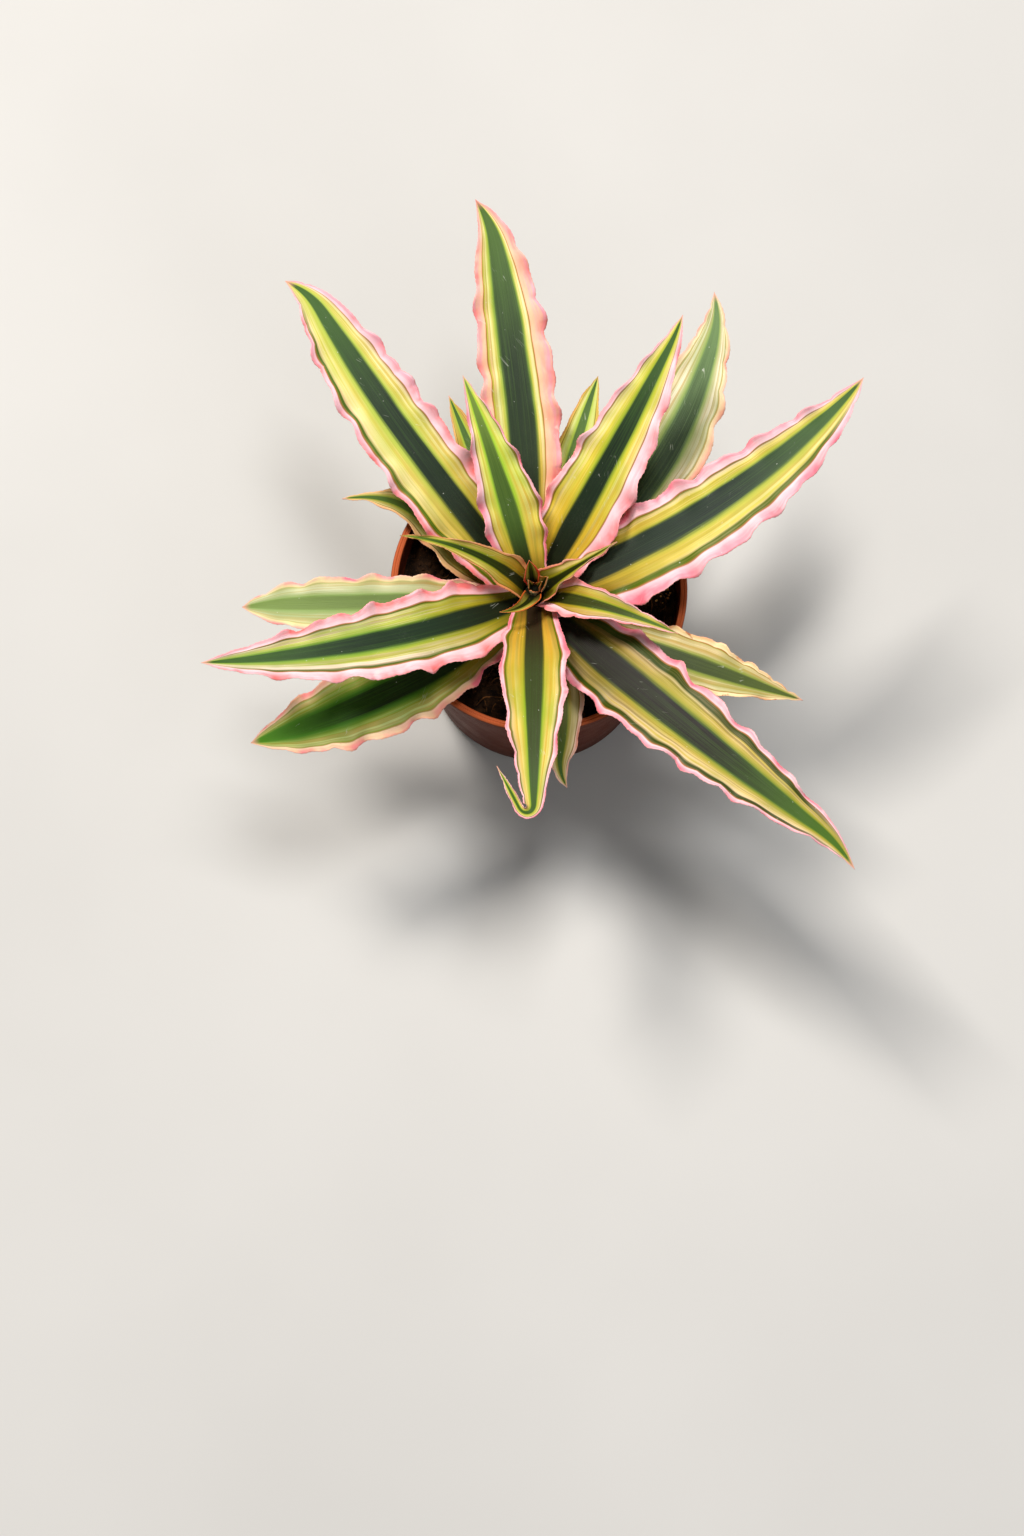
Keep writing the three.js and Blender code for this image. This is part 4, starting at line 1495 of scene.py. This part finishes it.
@dataclass
class Rosette:
    """All the leaves, spiralling down the stem from the youngest."""

    wave_height: float = 0.10  # of the large waves, over the leaf's width
    scallop: float = 0.055  # how far they push the edge in and out, over the half width
    second_wave: float = 1.63  # a finer wave's turns, over the first one's
    second_share: float = 0.6  # its height, over the first one's
    wave_fade: Pair = (0.25, 0.2)  # shares at root and tip where waves fade
    edge_fade: Pair = (0.12, 0.05)  # the same for the fine edge
    cup_fade: float = 0.3  # share of the length over which the root's cup opens
    row: float = 0.55  # distance between rows of points along a leaf
    fewest_rows: int = 40
    usual_width: float = 30.0  # of a leaf that the edge's fine sizes are given for
    rib_thickness: float = 1.3
    tip_thickness: float = 0.6
    edge_thickness: float = 0.32
    thinning: float = 1.15  # how soon it is reached, where 1 is at the very edge
    tip_half_width: float = 0.12
    tail_half_width: float = 1.7
    tooth_pitch: float = 1.7
    tooth: float = 0.26
    crinkle: float = 0.04
    frill: float = 0.75  # depth of the scallops along the edge
    frill_from: float = 0.66  # share of the half width where they begin
    frill_span: float = 0.34  # and over which they grow
    groove_place: float = 0.69  # share of the half width where the margin's seam runs
    groove_width: float = 0.03
    groove_depth: float = 0.05
    seed: int = 100
    noise_step: float = 37.0  # how far apart two leaves' streaks are drawn
    columns: tuple[float, ...] = (0.0, 0.10, 0.20, 0.30, 0.40, 0.50, 0.59, 0.65, 0.69, 0.73,
                                  0.78, 0.84, 0.90, 0.955, 1.0)

    def build(self, effects: Effects) -> None:
        """Builds and dresses every leaf.

        Args:
            effects: the shared node groups.
        """
        for order, leaf in enumerate(LEAVES):
            blade = self.blade(leaf, order)
            settle(blade, Slot.LEAF, leaf.finish.material(leaf.name, effects), leaf.name)
        for leaf in BUD:
            settle(self.blade(leaf, 0), Slot.LEAF, leaf.finish.material(leaf.name, effects))

    def half_width(self, form: LeafForm, u: np.ndarray) -> np.ndarray:
        """Gives half the blade's width.

        Args:
            form: the leaf's shape.
            u: shares of its length.

        Returns:
            Millimetres, one for each share.
        """
        opening = form.neck + (1 - form.neck) * smooth(u / form.widest)
        past = np.clip((u - form.widest) / (form.tail - form.widest), 0, 1)
        least = self.tip_half_width
        if form.tail < 1:
            least = mix(self.tail_half_width, least, smooth((u - form.tail) / (1 - form.tail)))
        return np.maximum(least, form.width / 2 * opening * (1 - past ** form.taper))

    def midline(self, form: LeafForm, order: int, u: np.ndarray) -> tuple[np.ndarray, ...]:
        """Walks the midline from the root in equal steps.

        Args:
            form: the leaf's shape.
            order: its place in the spiral, from the top.
            u: even shares of its length, from 0 to 1.

        Returns:
            Centres, cross directions and upward directions, one row for each share.
        """
        def direction(t: np.ndarray) -> tuple[np.ndarray, np.ndarray]:
            """Gives the heading and the unit direction at t."""
            turn = smooth((t - form.curl_from) / (form.curl_to - form.curl_from))
            heading = np.radians(form.azimuth + form.bend * t + form.curl * turn)
            slope = np.radians(mix(form.rise, form.droop, t ** form.arch))
            flat = np.cos(slope)
            return heading, np.stack([flat * np.cos(heading), flat * np.sin(heading),
                                      np.sin(slope)], -1)

        height = ROOT_TOP - order * ROOT_PITCH - form.sunk
        reach = ROOT_RADIUS + order * ROOT_RADIUS_PITCH - form.inset
        azimuth = math.radians(form.azimuth)
        start = np.array((STEM_PLACE[0] + reach * math.cos(azimuth),
                          STEM_PLACE[1] + reach * math.sin(azimuth), height))
        middle = (u[:-1] + u[1:]) / 2
        steps = direction(middle)[1] * form.length * np.diff(u)[:, None]
        centre = start + np.vstack([np.zeros(3), np.cumsum(steps, 0)])
        heading, along = direction(u)
        side = np.stack([-np.sin(heading), np.cos(heading), np.zeros_like(heading)], -1)
        lift = np.cross(along, side)
        roll = np.radians(form.roll * smooth(1.4 * u))[:, None]
        side = side * np.cos(roll) + lift * np.sin(roll)
        return centre, side, np.cross(along, side)

    def blade(self, leaf: Leaf, order: int) -> bpy.types.Object:
        """Makes one leaf's closed blade with its waves, crinkles, teeth and marks.

        Args:
            leaf: the leaf.
            order: its place in the spiral, from the top.

        Returns:
            The leaf object. Its points carry where they are on the blade.
        """
        form, edge = leaf.form, leaf.edge
        rows = max(self.fewest_rows, round(form.length / self.row))
        u = np.linspace(0, 1, rows + 1)
        centre, side, up = self.midline(form, order, u)
        half = self.half_width(form, u)
        cup = mix(form.root_cup, form.cup, smooth(u / self.cup_fade))
        rib = mix(self.rib_thickness, self.tip_thickness, u)
        draw = np.random.default_rng(self.seed + order)
        v = np.array([-c for c in reversed(self.columns[1:])] + list(self.columns))
        fade = smooth(u / self.wave_fade[0]) * smooth((1 - u) / self.wave_fade[1])
        ends = smooth(u / self.edge_fade[0]) * smooth((1 - u) / self.edge_fade[1])
        size = form.width / self.usual_width
        s = u * form.length
        upper = np.zeros((rows + 1, len(v), 3))
        lower = np.zeros_like(upper)
        marks = np.zeros((rows + 1, len(v), 3))
        # Sums of sines whose lengths don't fit each other, so that no stretch looks repeated.
        for j, place in enumerate(v):
            left = place > 0
            phase = 2 * math.pi * (((2 * order + (1 if left else 0) + 1) * GOLDEN) % 1)
            turn = 2 * math.pi * form.waves * u
            second = self.second_wave * turn + 2.1 * phase
            wave = fade * (np.sin(turn + phase) + self.second_share * np.sin(second))
            push = fade * (np.cos(turn + phase) + self.second_share * np.cos(second))
            bite = abs(place) ** 3
            outer = smooth((abs(place) - self.frill_from) / self.frill_span)
            restless = 0.35 + 0.65 * smooth(0.5 + 0.9 * np.sin(s / 11 + 4 * phase)
                                            + 0.5 * np.sin(s / 4.3 + 2 * phase))
            crinkle = ends * outer * restless * (
                np.sin(s / 1.30 + 5 * phase + 2.2 * np.sin(s / 7.5 + phase))
                + 0.5 * np.sin(s / 0.62 + 3 * phase + 1.5 * np.sin(s / 5 + phase)))
            groove = math.exp(-((abs(place) - self.groove_place) / self.groove_width) ** 2)
            frill = edge.left_frill if left else edge.right_frill
            pitch = edge.left_pitch if left else edge.right_pitch
            bumps = np.abs(np.sin(math.pi * s / pitch + 2.3 * phase
                                  + 0.9 * np.sin(s / 17 + phase))) ** 0.7 - 0.6
            across = place * half * (1 + self.scallop * push * bite)
            across = across + (np.sign(place) * self.frill * frill * size ** 0.5 * ends * outer
                               * restless * bumps)
            rise = (cup * half * place ** 2 + self.wave_height * form.width * wave * bite / 2
                    + self.crinkle * size * frill * crinkle + 0.5 * frill * size * ends * outer
                    * restless * bumps - self.groove_depth * groove * ends)
            if abs(place) > 0.99:
                saw = (s / self.tooth_pitch + 0.6 * np.sin(s / 5.0 + phase) + phase) % 1.0
                across = across + np.sign(place) * ends * self.tooth * size ** 0.5 * saw ** 1.6
            upper[:, j] = centre + side * across[:, None] + up * rise[:, None]
            thick = mix(rib, self.edge_thickness, min(1.0, self.thinning * place ** 2))
            lower[:, j] = upper[:, j] - up * thick[:, None]
            shifted = place - edge.stripe_shift
            marks[:, j, 0] = shifted / (1 - edge.stripe_shift * np.sign(shifted))
            marks[:, j, 1] = u
            marks[:, j, 2] = wave * bite + 0.5 * crinkle
        faces = self.skin(rows, len(v))
        points = np.concatenate([upper.reshape(-1, 3), lower.reshape(-1, 3)]) * MM
        made = make_object(leaf.name, points, faces)
        blade = np.concatenate([marks.reshape(-1, 3)] * 2)
        spot = np.stack([blade[:, 0] * form.width / 2, blade[:, 1] * form.length,
                         np.full(len(blade), order * self.noise_step + draw.random())], -1)
        below = np.repeat([0.0, 1.0], (rows + 1) * len(v))
        self.mark(made, "blade", "FLOAT_VECTOR", "vector", blade)
        self.mark(made, "place", "FLOAT_VECTOR", "vector", spot)
        self.mark(made, "underside", "FLOAT", "value", below)
        return made

    def skin(self, rows: int, columns: int) -> np.ndarray:
        """Closes a blade: its upper side, its lower side and the edges between them.

        Args:
            rows: steps along the blade.
            columns: points across it. The lower side's points follow all the upper ones.

        Returns:
            Four corner numbers for each face.
        """
        count = (rows + 1) * columns
        grid = np.arange(count).reshape(rows + 1, columns)
        a, b = grid[:-1, :-1].ravel(), grid[1:, :-1].ravel()
        c, d = grid[1:, 1:].ravel(), grid[:-1, 1:].ravel()
        faces = [np.stack([a, b, c, d], -1), np.stack([a, d, c, b], -1) + count]
        right, left, root, tip = grid[:, 0], grid[:, -1], grid[0], grid[-1]
        for edge, outward in ((right, True), (left, False), (root, False), (tip, True)):
            first, second = edge[:-1], edge[1:]
            wall = ([first, first + count, second + count, second] if outward
                    else [first, second, second + count, first + count])
            faces.append(np.stack(wall, -1))
        return np.concatenate(faces)

    def mark(self, piece: bpy.types.Object, name: str, kind: str, key: str,
             values: np.ndarray) -> None:
        """Stores one value for each point of a piece.

        Args:
            piece: the object.
            name: the attribute's name.
            kind: Blender's name for its type.
            key: the field that holds it.
            values: the values, one row for each point.
        """
        layer = piece.data.attributes.new(name, kind, "POINT")
        layer.data.foreach_set(key, np.asarray(values, np.float32).ravel())


# ------------------------------------------------------------------ whole part


def main() -> None:
    """Builds the plant in its pot, piece by piece."""
    logging.basicConfig(level=logging.INFO, format="%(name)s: %(message)s")
    effects = Effects()
    Studio().build()
    Pot().build(effects)
    Soil().build(effects)
    Stem().build(effects)
    Rosette().build(effects)


if __name__ == "__main__":
    main()
